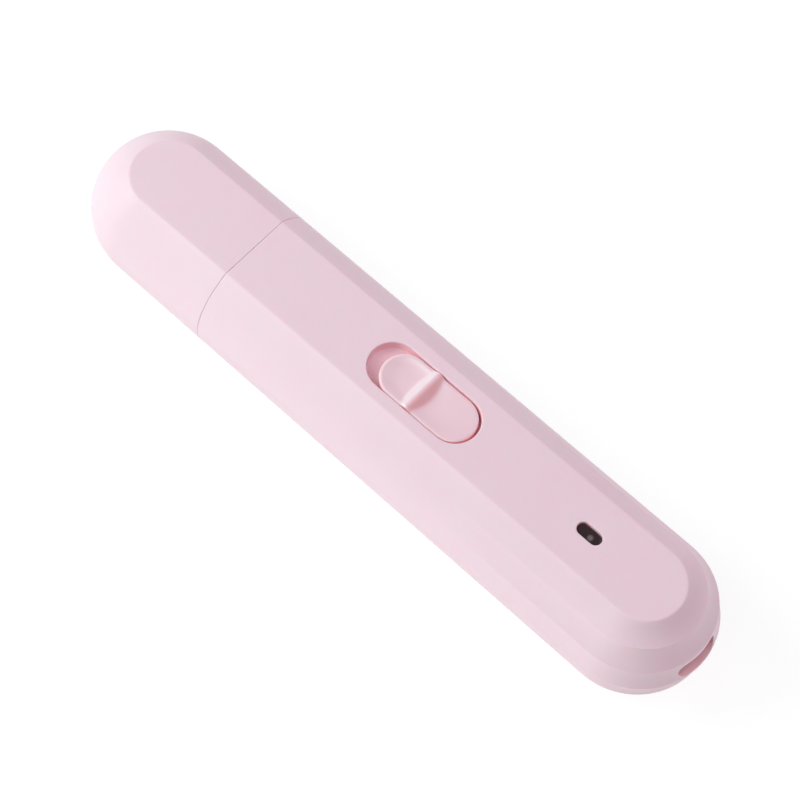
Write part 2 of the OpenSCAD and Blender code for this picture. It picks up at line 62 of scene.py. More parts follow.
# ---- body form: a capsule along X with a flat top and a flat underside, heights measured from the axis
AXIS_Z = middle("motor_shaft").z
TAIL_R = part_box("housing")[1].y
NOSE_R = TAIL_R - 0.6 * MM
TAIL_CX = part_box("housing")[1].x - TAIL_R
NOSE_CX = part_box("front_cap")[0].x + NOSE_R
SEAM_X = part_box("housing")[0].x
SHOULDER_X = SEAM_X - 0.06 * MM
RIM_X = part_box("front_cap")[1].x
FLAT_W = 15 * MM
UNDER_Z = -AXIS_Z
WALL = 2.2 * MM
FLAT_WALL = 2 * MM
CREASE_R = 1 * MM
LIP_R = 0.05 * MM
SEAM_LIP_R = 0.12 * MM

# ---- density of the skins: rows between two latitudes in degrees, and edge loops beside creases
SUPPORT = 0.25 * MM
END_SUPPORT = 0.4 * MM
FIRST_ROW, LAST_ROW = 57, -54.5
SIDE_STEPS, DOME_STEPS, EDGE_STEPS, END_STEPS, PATCH_STEPS = 28, 96, 8, 8, 5

# ---- scalloped bands of the tail: depth, and the latitudes of their creases
BAND_DEPTH = 0.5 * MM
CREASES = (60.6, 41, 20.5, 0, -20.5, -41, -57.5)
BAND_ROWS = 8
BAND_START = 14 * MM
CREASE_ROUND = 0.7

# ---- openings in the housing
RECESS_X = 5 * MM
RECESS_L = 25 * MM
RECESS_W = 10 * MM
RECESS_DEPTH = 2.4 * MM
RECESS_LIP = 0.22 * MM
WELL_WALL = 1.8 * MM
WELL_FLOOR = 1.2 * MM
SLOT_L = 7.2 * MM
SLOT_W = 3.6 * MM
SLOT_CORNER_R = 0.5 * MM
STEM_X = middle("switch_frame").x
FLOOR_FILLET = 0.35 * MM
WINDOW_LIP = 0.15 * MM
WINDOW_X = middle("indicator_led").x
WINDOW_L = 5.4 * MM
WINDOW_W = 2.7 * MM
PORT_Z = middle("usb_shell").z - AXIS_Z
PORT_W = 9.8 * MM
PORT_H = 3.5 * MM
PORT_LIP = 0.1 * MM
PORT_MARGIN = 1.3 * MM

# ---- slide button: an outline with a gap all round, a dish, a cross ridge and a scoop.
# STRIP is half the strip along its middle, and the steps run round it and across it
BUTTON_X = middle("slide_button").x
BUTTON_L = 2 * half("slide_button").x
BUTTON_W = 2 * half("slide_button").y
BUTTON_SUNK = 0.3 * MM
BUTTON_LIFT = 0.25 * MM
BUTTON_EDGE = 0.5 * MM
BUTTON_RIM = 0.7 * MM
DISH_DEPTH = 0.8 * MM
SCOOP_DEPTH = 1.05 * MM
RIDGE_X = 4.6 * MM
RIDGE_H = 0.8 * MM
RIDGE_SLOPE = 1.2
RIDGE_ROUND = 0.75 * MM
RIDGE_BLEND = 0.3 * MM
STEM_L = 4.2 * MM
STEM_W = 3 * MM
STEM_CORNER_R = 0.3 * MM
STRIP = 0.25 * MM
QUARTER_STEPS, LONG_STEPS, BUTTON_EDGE_STEPS, BOWL_STEPS = 16, 60, 6, 22

# ---- bore of the cap
BORE_R = 12.4 * MM
BORE_H = 10.9 * MM


def smooth(low, high, value):
    """0 below low, 1 above high, and a smooth rise between them."""
    t = min(1, max(0, (value - low) / (high - low)))
    return t * t * (3 - 2 * t)


def body_r(x):
    """Radius of the round sides at a place along the body."""
    return NOSE_R + (TAIL_R - NOSE_R) * (x - NOSE_CX) / (TAIL_CX - NOSE_CX)


def top_z(x):
    """Height of the flat top above the axis at a place along the body."""
    nose, tail = (sqrt(r * r - FLAT_W * FLAT_W / 4) for r in (NOSE_R, TAIL_R))
    return nose + (tail - nose) * (x - NOSE_CX) / (TAIL_CX - NOSE_CX)


def under_z(x):
    """Height of the flat underside, the same all along."""
    return UNDER_Z


# ---- mesh helpers

def point(x, y, z):
    """Point of the row frame, from a height above the body axis."""
    return Vector((x, y, AXIS_Z + z))


def loop_edges(bm, verts):
    """Edges of a closed loop, made where they are missing."""
    edges = []
    for a, b in zip(verts, verts[1:] + verts[:1]):
        edges.append(bm.edges.get((a, b)) or bm.edges.new((a, b)))
    return edges


def fill(bm, *loops, normal=(0, 0, 1)):
    """Fills the area inside the first loop and outside the others, seen along the normal."""
    edges = [edge for verts in loops for edge in loop_edges(bm, verts)]
    bmesh.ops.triangle_fill(bm, use_beauty=True, use_dissolve=False, edges=edges, normal=normal)


def bridge(bm, first, second, closed=True):
    """Row of quads between two loops of the same length."""
    count = len(first) if closed else len(first) - 1
    for i in range(count):
        j = (i + 1) % len(first)
        bm.faces.new((first[i], first[j], second[j], second[i]))


def verts_of(bm, points):
    """New vertices at a list of points."""
    return [bm.verts.new(p) for p in points]


def loft(bm, loops):
    """Skin over a list of loops of points, returned as loops of vertices."""
    made = [verts_of(bm, points) for points in loops]
    for first, second in zip(made, made[1:]):
        bridge(bm, first, second)
    return made


def cap_off(bm, verts):
    """Closes a loop with one face."""
    bm.faces.new(verts)


def arc(start, end, steps):
    """Angles from start to end, in radians, both included."""
    return [start + (end - start) * k / steps for k in range(steps + 1)]


def outline(length, width, corner_r=None, offset=0, arc_steps=10, side_steps=4):
    """Rounded rectangle, a pill unless corner_r is given, as (along, across) pairs, grown by an offset."""
    corner_r = width / 2 if corner_r is None else corner_r
    r = corner_r + offset
    u, v = length / 2 - corner_r, width / 2 - corner_r
    centres = ((u, v), (-u, v), (-u, -v), (u, -v))
    pairs = []
    for quarter, (cu, cv) in enumerate(centres):
        start = quarter * pi / 2
        pairs += [(cu + r * cos(a), cv + r * sin(a))
                  for a in arc(start, start + pi / 2, arc_steps)]
        last_u, last_v = pairs[-1]
        go_u, go_v = (b - a for a, b in zip((cu, cv), centres[(quarter + 1) % 4]))
        if math.hypot(go_u, go_v) > MM:
            pairs += [(last_u + go_u * k / side_steps, last_v + go_v * k / side_steps)
                      for k in range(1, side_steps)]
        else:
            pairs.pop()
    return pairs


def roll_over(radius, steps=4):
    """Steps of a rounded edge, as (distance out from the wall, depth below the face)."""
    return [(radius * (1 - sin(a)), radius * (1 - cos(a))) for a in arc(0, pi / 2, steps)]


def link(name, data):
    """Puts a new object in the scene."""
    made = bpy.data.objects.new(name, data)
    bpy.context.scene.collection.objects.link(made)
    return made


def add_piece(name, build, material, body, nodes):
    """Builds a smooth piece that rides on a body and stands for CAD nodes."""
    bm = bmesh.new()
    build(bm)
    bmesh.ops.recalc_face_normals(bm, faces=bm.faces[:])
    mesh = bpy.data.meshes.new(name)
    bm.to_mesh(mesh)
    bm.free()
    mesh.shade_smooth()
    mesh.set_sharp_from_angle(angle=radians(SHARP_ANGLE))
    mesh.materials.append(material)
    piece = link(name, mesh)
    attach(piece, body)
    if nodes:
        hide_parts(*nodes)


# ---- body skins

def columns(x_open, dome_x, dome_r, radius_at):
    """Upright half sections from the open end along -Y, round the dome and back along +Y.
    Each is (base x, direction across, direction along, radius)."""
    out = 1 if dome_x > x_open else -1
    stations = [x_open, x_open + out * END_SUPPORT]
    stations += [x_open + (dome_x - x_open) * k / SIDE_STEPS for k in range(1, SIDE_STEPS)]
    near = [(x, -1, 0, radius_at(x)) for x in stations]
    dome = [(dome_x, sin(a), out * cos(a), dome_r)
            for a in arc(-pi / 2, pi / 2, DOME_STEPS)]
    far = [(x, 1, 0, radius_at(x)) for x in reversed(stations)]
    return near + dome + far


def latitudes():
    """Latitudes of the rows between the two edge roundings, closer together at each crease."""
    rows = []
    for high, low in zip(CREASES, CREASES[1:]):
        between = [high + (low - high) * k / BAND_ROWS for k in range(1, BAND_ROWS)]
        rows += [high - CREASE_ROUND, *between, low + CREASE_ROUND, low]
    return [radians(row) for row in rows if LAST_ROW < row < FIRST_ROW]


def band_dip(latitude, amount):
    """How far a scalloped band lies below the round form at a latitude."""
    degrees = math.degrees(latitude)
    for high, low in zip(CREASES, CREASES[1:]):
        if low <= degrees <= high:
            t = (high - degrees) / (high - low)
            return amount * 4 * t * (1 - t)
    return 0


def corner(r, flat, edge_r):
    """Centre of the rounding between a flat and the round side, and the latitude where it ends."""
    centre_z = flat - edge_r
    return sqrt((r - edge_r) ** 2 - centre_z ** 2), centre_z, asin(centre_z / (r - edge_r))


def half_section(r, top, under, edge_r, dip):
    """Rows (out, height, normal out, normal height) from the flat top round to the underside."""
    out, centre, latitude = corner(r, top, edge_r)
    rows = [(out - SUPPORT, top, 0, 1)]
    for a in arc(pi / 2, latitude, EDGE_STEPS):
        rows.append((out + edge_r * cos(a), centre + edge_r * sin(a), cos(a), sin(a)))
    for a in latitudes():
        local_r = r - band_dip(a, dip)
        rows.append((local_r * cos(a), local_r * sin(a), cos(a), sin(a)))
    out, centre, latitude = corner(r, -under, edge_r)
    for a in arc(latitude, pi / 2, EDGE_STEPS):
        rows.append((out + edge_r * cos(a), -centre - edge_r * sin(a), cos(a), -sin(a)))
    rows.append((out - SUPPORT, under, 0, -1))
    return rows


def skin(bm, cols, top_at, under_at, edge_r, dip_at):
    """Grid over the round sides and the dome: for each half section, its vertices and its rows."""
    grid = []
    for x, across, along, r in cols:
        crease_x = x + along * FLAT_W / 2
        rows = half_section(r, top_at(crease_x), under_at(crease_x), edge_r, dip_at(x))
        grid.append(([bm.verts.new(point(x + along * out, across * out, z)) for out, z, _, _ in rows], rows))
    for (first, _), (second, _) in zip(grid, grid[1:]):
        bridge(bm, first, second, closed=False)
    return grid


def cross_line(bm, a, b, n_z):
    """Vertices across a flat between two others, with their normals in the plane across."""
    return [(bm.verts.new(a.co.lerp(b.co, k / END_STEPS)), 0, n_z) for k in range(1, END_STEPS)]


def cross_ring(bm, near_column, far_column):
    """Closed loop round the body through two columns, as (vertex, normal y, normal z)."""
    (near, rows), (far, _) = near_column, far_column
    ring = [(v, -n_out, n_z) for v, (_, _, n_out, n_z) in zip(near, rows)]
    ring += cross_line(bm, near[-1], far[-1], -1)
    ring += [(v, n_out, n_z) for v, (_, _, n_out, n_z) in reversed(list(zip(far, rows)))]
    ring += cross_line(bm, far[0], near[0], 1)
    return ring


def open_end(bm, grid):
    """Closes both flats near the open end. Returns its ring and the loops round the top and underside."""
    end = cross_ring(bm, grid[0], grid[-1])
    inner = cross_ring(bm, grid[1], grid[-2])
    rows = len(grid[0][0])
    last_under = rows + END_STEPS - 1
    for first, last in ((rows - 1, last_under), (last_under + rows - 1, len(end))):
        span = [k % len(end) for k in range(first, last + 1)]
        bridge(bm, [end[k][0] for k in span], [inner[k][0] for k in span], closed=False)
    across = [v for v, _, _ in inner]
    top = [verts[0] for verts, _ in grid[1:-1]] + across[last_under + rows:]
    under = [verts[-1] for verts, _ in grid[1:-1]] + list(reversed(across[rows:last_under]))
    return end, top, under


def rounded_end(bm, end, radius, out):
    """Rounds the edge of an open end, which faces along X in the direction out."""
    base = [v.co.copy() for v, _, _ in end]
    last = [v for v, _, _ in end]
    for v, co in zip(last, base):
        v.co = co - Vector((out * radius, 0, 0))
    for back, inset in roll_over(radius, 3)[1:]:
        made = [bm.verts.new(co - Vector((out * back, n_y * inset, n_z * inset)))
                for co, (_, n_y, n_z) in zip(base, end)]
        bridge(bm, last, made)
        last = made
    return last


def no_dip(x):
    """Depth of the bands on a plain form: none anywhere."""
    return 0


def tail_dip(x):
    """Depth of the bands: none at the front of the housing, full round the tail."""
    return BAND_DEPTH * smooth(BAND_START, TAIL_CX, x)


# ---- charging port in the tail

def tail_surface_x(y, z, r, dip):
    """Place along the body where the tail dome has a point at y, z."""
    local_r = r
    for _ in range(4):
        local_r = r - band_dip(asin(z / local_r), dip)
    return TAIL_CX + sqrt(local_r * local_r - z * z - y * y)


def port_outline(side, t, offset):
    """Point (y, z) on the port's outline: t runs from 0 to 1 along its top, far end, bottom and near end."""
    r = PORT_H / 2 + offset
    straight = (PORT_W - PORT_H) / 2
    turn = -1 if side > 1 else 1
    if side % 2:
        a = pi / 4 * (1 - 2 * t)
        y, z = straight + r * cos(a), r * sin(a)
    else:
        length = (t - 0.5) * (2 * straight + pi * r / 2)
        a = max(0, abs(length) - straight) / r
        y = math.copysign(min(abs(length), straight) + r * sin(a), length)
        z = r * cos(a)
    return turn * y, PORT_Z + turn * z


def port_border(bm, grid):
    """Takes the grid away where the port goes. Returns the border as (vertex, side, share of that side)."""
    reach = PORT_W / 2 + PORT_MARGIN
    heights = [v.co.z - AXIS_Z for v in grid[len(grid) // 2][0]]
    middle_row = min(range(len(heights)), key=lambda k: abs(heights[k]))
    cols = [k for k, (verts, _) in enumerate(grid)
            if abs(verts[middle_row].co.y) < reach and verts[middle_row].co.x > TAIL_CX]
    rows = [k for k, z in enumerate(heights) if abs(z - PORT_Z) < PORT_H / 2 + PORT_MARGIN]
    c0, c1, r0, r1 = cols[0], cols[-1], rows[0], rows[-1]
    inside = [grid[c][0][k] for c in range(c0 + 1, c1) for k in range(r0 + 1, r1)]
    sides = ([(c, r0) for c in range(c0, c1)], [(c1, k) for k in range(r0, r1)],
             [(c, r1) for c in range(c1, c0, -1)], [(c0, k) for k in range(r1, r0, -1)])
    border = [(grid[c][0][k], side, i / len(places))
              for side, places in enumerate(sides) for i, (c, k) in enumerate(places)]
    bmesh.ops.delete(bm, geom=inside, context="VERTS")
    return border


def port_ring(bm, border, offset, depth, r, dip, share=1):
    """Ring of vertices between the border (share 0) and the port's outline (share 1), sunk by a depth."""
    ring = []
    for v, side, t in border:
        y, z = port_outline(side, t, offset)
        y = v.co.y + (y - v.co.y) * share
        z = v.co.z - AXIS_Z + (z - v.co.z + AXIS_Z) * share
        ring.append(bm.verts.new(point(tail_surface_x(y, z, r, dip) - depth, y, z)))
    return ring


def cut_port(bm, outer, inner):
    """Oblong hole with a rolled lip through the tail wall."""
    border = port_border(bm, outer)
    last = [v for v, _, _ in border]
    for k in range(1, PATCH_STEPS):
        made = port_ring(bm, border, PORT_LIP, 0, TAIL_R, BAND_DEPTH, k / PATCH_STEPS)
        bridge(bm, last, made)
        last = made
    for offset, depth in roll_over(PORT_LIP):
        made = port_ring(bm, border, offset, depth, TAIL_R, BAND_DEPTH)
        bridge(bm, last, made)
        last = made
    made = port_ring(bm, border, 0, 0, TAIL_R - WALL, 0)
    bridge(bm, last, made)
    fill(bm, [v for v, _, _ in port_border(bm, inner)], made, normal=(1, 0, 0))


# ---- housing and cap

def flat_ring(bm, pairs, x, depth):
    """Ring of vertices at a depth under the flat top."""
    return verts_of(bm, [point(x + u, v, top_z(x + u) - depth) for u, v in pairs])


def level_ring(bm, pairs, x, z):
    """Ring of vertices at one height above the axis."""
    return verts_of(bm, [point(x + u, v, z) for u, v in pairs])


def sink(bm, first, rings):
    """Bridges a ring through a list of others. Returns the last."""
    for ring in rings:
        bridge(bm, first, ring)
        first = ring
    return first


def rolled_hole(bm, x, length, width, lip):
    """Rounded edge of a pill-shaped hole in the flat top. Returns its first and last rings."""
    rings = [flat_ring(bm, outline(length, width, offset=offset), x, depth)
             for offset, depth in ((lip + SUPPORT, 0), *roll_over(lip))]
    return rings[0], sink(bm, rings[0], rings[1:])


def add_recess(bm):
    """Recess of the button, slotted in its floor, and the well that it forms inside the shell.
    Returns the loops that it leaves in the outer and the inner face of the top."""
    floor_z = top_z(RECESS_X) - RECESS_DEPTH
    edge, wall = rolled_hole(bm, RECESS_X, RECESS_L, RECESS_W, RECESS_LIP)
    wall = sink(bm, wall, [
        level_ring(bm, outline(RECESS_L, RECESS_W, offset=-inset), RECESS_X, floor_z + rise)
        for rise, inset in (*roll_over(FLOOR_FILLET), (0, FLOOR_FILLET + SUPPORT))])
    slot = outline(SLOT_L, SLOT_W, corner_r=SLOT_CORNER_R)
    slot_top = level_ring(bm, slot, STEM_X, floor_z)
    fill(bm, wall, slot_top)
    slot_foot = level_ring(bm, slot, STEM_X, floor_z - WELL_FLOOR)
    bridge(bm, slot_top, slot_foot)
    well = outline(RECESS_L, RECESS_W, offset=WELL_WALL)
    well_foot = level_ring(bm, well, RECESS_X, floor_z - WELL_FLOOR)
    fill(bm, well_foot, slot_foot)
    well_top = flat_ring(bm, well, RECESS_X, FLAT_WALL)
    bridge(bm, well_foot, well_top)
    return edge, well_top


def add_window(bm):
    """Opening of the lamp window. Returns the loops that it leaves in both faces of the top."""
    edge, wall = rolled_hole(bm, WINDOW_X, WINDOW_L, WINDOW_W, WINDOW_LIP)
    foot = flat_ring(bm, outline(WINDOW_L, WINDOW_W), WINDOW_X, FLAT_WALL)
    bridge(bm, wall, foot)
    return edge, foot


def housing_mesh(bm):
    """Main shell: flat top with recess and window, scalloped tail with port, open at the cap end."""
    outer = skin(bm, columns(SHOULDER_X, TAIL_CX, TAIL_R, body_r), top_z, under_z, CREASE_R, tail_dip)
    end, top, under = open_end(bm, outer)
    inner = skin(bm, columns(SHOULDER_X, TAIL_CX, TAIL_R - WALL, lambda x: body_r(x) - WALL),
                 lambda x: top_z(x) - FLAT_WALL, lambda x: UNDER_Z + FLAT_WALL, CREASE_R / 2, no_dip)
    inner_end, inner_top, inner_under = open_end(bm, inner)
    bridge(bm, rounded_end(bm, end, SEAM_LIP_R, -1), [v for v, _, _ in inner_end])
    recess_edge, well_top = add_recess(bm)
    window_edge, window_foot = add_window(bm)
    fill(bm, top, recess_edge, window_edge)
    fill(bm, inner_top, well_top, window_foot)
    fill(bm, under)
    fill(bm, inner_under)
    cut_port(bm, outer, inner)


def cap_mesh(bm):
    """Pull-off cap: the nose of the body, bored for the collar and the drum."""
    outer = skin(bm, columns(RIM_X, NOSE_CX, NOSE_R, body_r), top_z, under_z, CREASE_R, no_dip)
    end, top, under = open_end(bm, outer)
    inner = skin(bm, columns(RIM_X, NOSE_CX, BORE_R, lambda x: BORE_R),
                 lambda x: BORE_H, lambda x: -BORE_H, CREASE_R / 2, no_dip)
    inner_end, inner_top, inner_under = open_end(bm, inner)
    bridge(bm, rounded_end(bm, end, LIP_R, 1), [v for v, _, _ in inner_end])
    for loop in (top, under, inner_top, inner_under):
        fill(bm, loop)


# ---- slide button

def button_loop(inset):
    """Outline of the button drawn in by an inset: its tail end, far side, nose end and near side."""
    pairs = outline(BUTTON_L, BUTTON_W, offset=-inset, arc_steps=QUARTER_STEPS, side_steps=LONG_STEPS)
    return [(BUTTON_X + u, v) for u, v in pairs[-QUARTER_STEPS:] + pairs[:-QUARTER_STEPS]]


def soft_max(a, b, blend):
    """Larger of two heights, rounded where they meet."""
    return (a + b + sqrt((a - b) ** 2 + blend * blend)) / 2


def front_dish(x, y):
    """Round thumb dish between the nose end and the ridge."""
    centre = BUTTON_X - (BUTTON_L - BUTTON_W) / 2
    out = math.hypot(min(x - centre, 0), y) / (BUTTON_W / 2 - BUTTON_RIM)
    return -DISH_DEPTH * max(0, 1 - out ** 3)


def rear_scoop(x, y):
    """Long scoop that is deepest behind the ridge and runs out towards the tail."""
    tail_x = BUTTON_X + (BUTTON_L - BUTTON_W) / 2
    reach = BUTTON_W / 2 - BUTTON_RIM
    side = sqrt(max(reach ** 2 - max(x - tail_x, 0) ** 2, 1e-12))
    along = min(1, max(0, (x - RIDGE_X) / (tail_x + reach - RIDGE_X)))
    return -SCOOP_DEPTH * max(0, 1 - (y / side) ** 2) * (1 - along) ** 1.3


def button_height(x, y, inset):
    """Height of the button's top, from its rim."""
    bowl = front_dish(x, y) if x < RIDGE_X else rear_scoop(x, y)
    away = math.hypot(x - RIDGE_X, RIDGE_ROUND) - RIDGE_ROUND
    top = soft_max(bowl, RIDGE_H - RIDGE_SLOPE * away, RIDGE_BLEND)
    drop = BUTTON_EDGE - sqrt(max(0, BUTTON_EDGE ** 2 - max(0, BUTTON_EDGE - inset) ** 2))
    return top - drop


def add_button_top(bm):
    """Top of the button, from its rim to a strip along its middle. Returns its outer loop."""
    rim_z = top_z(RECESS_X) - BUTTON_SUNK
    bowl_w = BUTTON_W / 2 - STRIP - BUTTON_EDGE
    insets = [inset for _, inset in roll_over(BUTTON_EDGE, BUTTON_EDGE_STEPS)]
    insets += [BUTTON_EDGE + bowl_w * k / BOWL_STEPS for k in range(1, BOWL_STEPS + 1)]
    made = loft(bm, [[point(x, y, rim_z + button_height(x, y, inset)) for x, y in button_loop(inset)]
                     for inset in insets])
    strip = made[-1]
    end_count = 2 * QUARTER_STEPS + 1
    nose_start = end_count + LONG_STEPS - 1
    cap_off(bm, strip[:end_count])
    cap_off(bm, strip[nose_start:nose_start + end_count])
    far = strip[end_count - 1:nose_start + 1]
    near = strip[nose_start + end_count - 1:] + strip[:1]
    bridge(bm, far, list(reversed(near)), closed=False)
    return made[0]


def button_mesh(bm):
    """Slide button with a dish, a cross ridge and a scoop, on its stem."""
    rim = add_button_top(bm)
    base_z = top_z(RECESS_X) - RECESS_DEPTH + BUTTON_LIFT
    base = verts_of(bm, [point(x, y, base_z) for x, y in button_loop(0)])
    bridge(bm, rim, base)
    stem = outline(STEM_L, STEM_W, corner_r=STEM_CORNER_R)
    stem_top = level_ring(bm, stem, BUTTON_X, base_z)
    fill(bm, base, stem_top)
    stem_foot = level_ring(bm, stem, BUTTON_X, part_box("slide_button")[0].z - AXIS_Z)
    bridge(bm, stem_top, stem_foot)
    fill(bm, stem_foot)


# ---- turned and flatted parts

def round_off(corners, steps=4):
    """Path through (x, r, rounding) corners, with each corner rounded."""
    path = []
    for k, (x, r, rounding) in enumerate(corners):
        here = Vector((x, r))
        if rounding == 0:
            path.append((x, r))
            continue
        before = (Vector(corners[k - 1][:2]) - here).normalized()
        after = (Vector(corners[(k + 1) % len(corners)][:2]) - here).normalized()
        opening = before.angle(after)
        sweep = pi - opening
        centre = here + (before + after).normalized() * rounding / sin(opening / 2)
        start = here + before * rounding / math.tan(opening / 2) - centre
        end = here + after * rounding / math.tan(opening / 2) - centre
        path += [tuple(centre + (start * sin(sweep - a) + end * sin(a)) / sin(sweep))
                 for a in arc(0, sweep, steps)]
    return path


def circle(r, steps=64, y=0, z=0):
    """Round section (across, height)."""
    return [(y + r * cos(a), z + r * sin(a)) for a in arc(0, 2 * pi, steps)[:-1]]


def flatted(r, top, under, arc_steps=24, flat_steps=10):
    """Section (across, height) of a round bar with a flat above and one below."""
    high, low = asin(top / r), asin(under / r)
    pairs = [(r * cos(a), r * sin(a)) for a in arc(-low, high, arc_steps)]
    w = r * cos(high)
    pairs += [(w - 2 * w * k / flat_steps, top) for k in range(1, flat_steps)]
    pairs += [(-r * cos(a), r * sin(a)) for a in arc(high, -low, arc_steps)]
    w = r * cos(low)
    return pairs + [(2 * w * k / flat_steps - w, -under) for k in range(1, flat_steps)]


def upright(bm, pairs, x):
    """Ring of vertices in the plane across the body at x."""
    return verts_of(bm, [point(x, y, z) for y, z in pairs])


def turn(bm, path, y=0, z=0, steps=64, section=None):
    """Skin turned about an axis along X through a path of (x, r). Returns its rings."""
    section = section or (lambda x, r: circle(r, steps, y, z))
    rings = [upright(bm, section(x, r), x) for x, r in path]
    for first, second in zip(rings, rings[1:]):
        bridge(bm, first, second)
    return rings


def turn_solid(bm, corners, **options):
    """Turned solid: the path starts and ends on flat faces that close it."""
    rings = turn(bm, round_off(corners), **options)
    cap_off(bm, rings[0])
    cap_off(bm, rings[-1])


def turn_hoop(bm, corners, **options):
    """Turned hoop: the path closes on itself."""
    rings = turn(bm, round_off(corners), **options)
    bridge(bm, rings[-1], rings[0])


def span(node):
    """First and last places of a CAD node along the body."""
    low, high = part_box(node)
    return low.x, high.x


# ---- collar and seals

EASE = 0.1 * MM          # usual rounding of a machined or moulded edge
SPIGOT_R = 12.3 * MM
SPIGOT_H = 10.8 * MM
SPIGOT_L = 6 * MM
SPIGOT_FRONT = SEAM_X - SPIGOT_L
FIT = 0.05 * MM
NECK_R = 4.4 * MM
SHIELD_R = 3.7 * MM
SHIELD_RINGS = (3.45 * MM, 3.2 * MM)
RING_WIDTH = 0.1 * MM
RING_DEPTH = 0.12 * MM
RING_ROUND = 0.03 * MM
CHUCK_R = 2.6 * MM
CHUCK_ROOM = 0.5 * MM
GROOVE_DEPTH = 0.8 * MM
SEAL_ROUND = 0.45 * MM
MOTOR_BOSS_L = 1.5 * MM
MOTOR_R = 10.35 * MM
MOTOR_H = 7.85 * MM
HOLE_STEPS = 32
# Screws of the collar: distance from the axis, thread radius, head radius and head length
MOTOR_SCREW = (6.6 * MM, 1 * MM, 1.8 * MM, 1.2 * MM)
FRAME_SCREW = (9.1 * MM, 0.8 * MM, 1.4 * MM, 1.1 * MM)
HEAD_ROOM = 0.08 * MM
SINK = 0.1 * MM


def spigot_section(x, inset):
    """Section of the spigot, drawn in by an inset."""
    return flatted(SPIGOT_R - inset, SPIGOT_H - inset, SPIGOT_H - inset)


def screw_places():
    """Each screw of the collar, as (across, height, its sizes)."""
    for side in (-1, 1):
        yield side * MOTOR_SCREW[0], 0, MOTOR_SCREW
        yield 0, side * FRAME_SCREW[0], FRAME_SCREW


def plug_ring(bm, x):
    """Section of the collar's plug, which fills the housing at x."""
    under = AXIS_Z - FLAT_WALL - FIT
    return upright(bm, flatted(body_r(x) - WALL - FIT, top_z(x) - FLAT_WALL - FIT, under), x)


def screw_hole(bm, y, z, sizes, far_x):
    """Hole for a screw, with a seat for its sunk head. Returns its first and last rings."""
    _, thread_r, head_r, head_l = sizes
    seat_x = SPIGOT_FRONT + SINK + head_l
    seat = turn(bm, [(x, head_r + HEAD_ROOM) for x in (SPIGOT_FRONT, seat_x)], y, z, HOLE_STEPS)
    thread = turn(bm, [(x, thread_r + FIT) for x in (seat_x, far_x)], y, z, HOLE_STEPS)
    fill(bm, seat[-1], thread[0], normal=(-1, 0, 0))
    return seat[0], thread[-1]


def collar_mesh(bm):
    """Collar: flatted spigot with a seal groove, a neck, holes for four screws, and a plug."""
    groove_front, groove_back = span("cap_seal_ring")
    neck_front, shield_back = span("dust_shield")
    motor_face = span("motor_can")[0] + MOTOR_BOSS_L
    plug_back = span("nose_collar")[1]
    rings = turn(bm, round_off([
        (SPIGOT_FRONT, 0.18 * MM, 0), (SPIGOT_FRONT, 0, 0.15 * MM),
        (groove_front, 0, EASE), (groove_front, GROOVE_DEPTH, EASE),
        (groove_back, GROOVE_DEPTH, EASE), (groove_back, 0, EASE), (SEAM_X, 0, 0),
    ]), section=spigot_section)
    back = sink(bm, rings[-1], [plug_ring(bm, SEAM_X), plug_ring(bm, plug_back)])
    motor = flatted(MOTOR_R, MOTOR_H, MOTOR_H)
    pocket, pocket_floor = (upright(bm, motor, x) for x in (plug_back, motor_face))
    bridge(bm, pocket, pocket_floor)
    neck = turn(bm, round_off([
        (SPIGOT_FRONT, NECK_R + 0.5 * MM, 0), (SPIGOT_FRONT, NECK_R, 0.4 * MM),
        (neck_front, NECK_R, 0.25 * MM), (neck_front, SHIELD_R, 0.15 * MM), (shield_back, SHIELD_R, EASE),
        (shield_back, CHUCK_R + CHUCK_ROOM, EASE), (motor_face, CHUCK_R + CHUCK_ROOM, 0),
    ]))
    front_holes, floor_holes, back_holes = [neck[0]], [neck[-1]], [pocket]
    for y, z, sizes in screw_places():
        ends_in_motor = z == 0
        first, last = screw_hole(bm, y, z, sizes, motor_face if ends_in_motor else plug_back)
        front_holes.append(first)
        (floor_holes if ends_in_motor else back_holes).append(last)
    fill(bm, rings[0], *front_holes, normal=(-1, 0, 0))
    fill(bm, pocket_floor, *floor_holes, normal=(1, 0, 0))
    fill(bm, back, *back_holes, normal=(1, 0, 0))


def seal_mesh(bm):
    """Rubber ring in the collar's groove, with a rounded outer side."""
    x0, x1 = span("cap_seal_ring")
    corners = [(x0, GROOVE_DEPTH, 0), (x0, -FIT, SEAL_ROUND), (x1, -FIT, SEAL_ROUND), (x1, GROOVE_DEPTH, 0)]
    turn_hoop(bm, corners, section=spigot_section)


def shield_mesh(bm):
    """Rubber dust shield in the neck, with two shallow rings and a soft lip round the chuck."""
    x0, x1 = span("dust_shield")
    lip = CHUCK_R + 2 * FIT
    corners = [(x1, SHIELD_R, 0), (x0, SHIELD_R, EASE)]
    for r in SHIELD_RINGS:
        corners += [(x0, r, RING_ROUND), (x0 + RING_DEPTH, r - RING_WIDTH / 2, 0),
                    (x0, r - RING_WIDTH, RING_ROUND)]
    corners += [(x0, lip, 0.12 * MM), (x1, lip, EASE)]
    turn_hoop(bm, corners)


def cross_outline(reach, width, y, z):
    """Corners of a cross seen along X, with its arms along Y and Z."""
    w = width / 2
    arm = ((reach, -w), (reach, w), (w, w))
    return [(y + c * u - s * v, z + s * u + c * v)
            for c, s in ((1, 0), (0, 1), (-1, 0), (0, -1)) for u, v in arm]


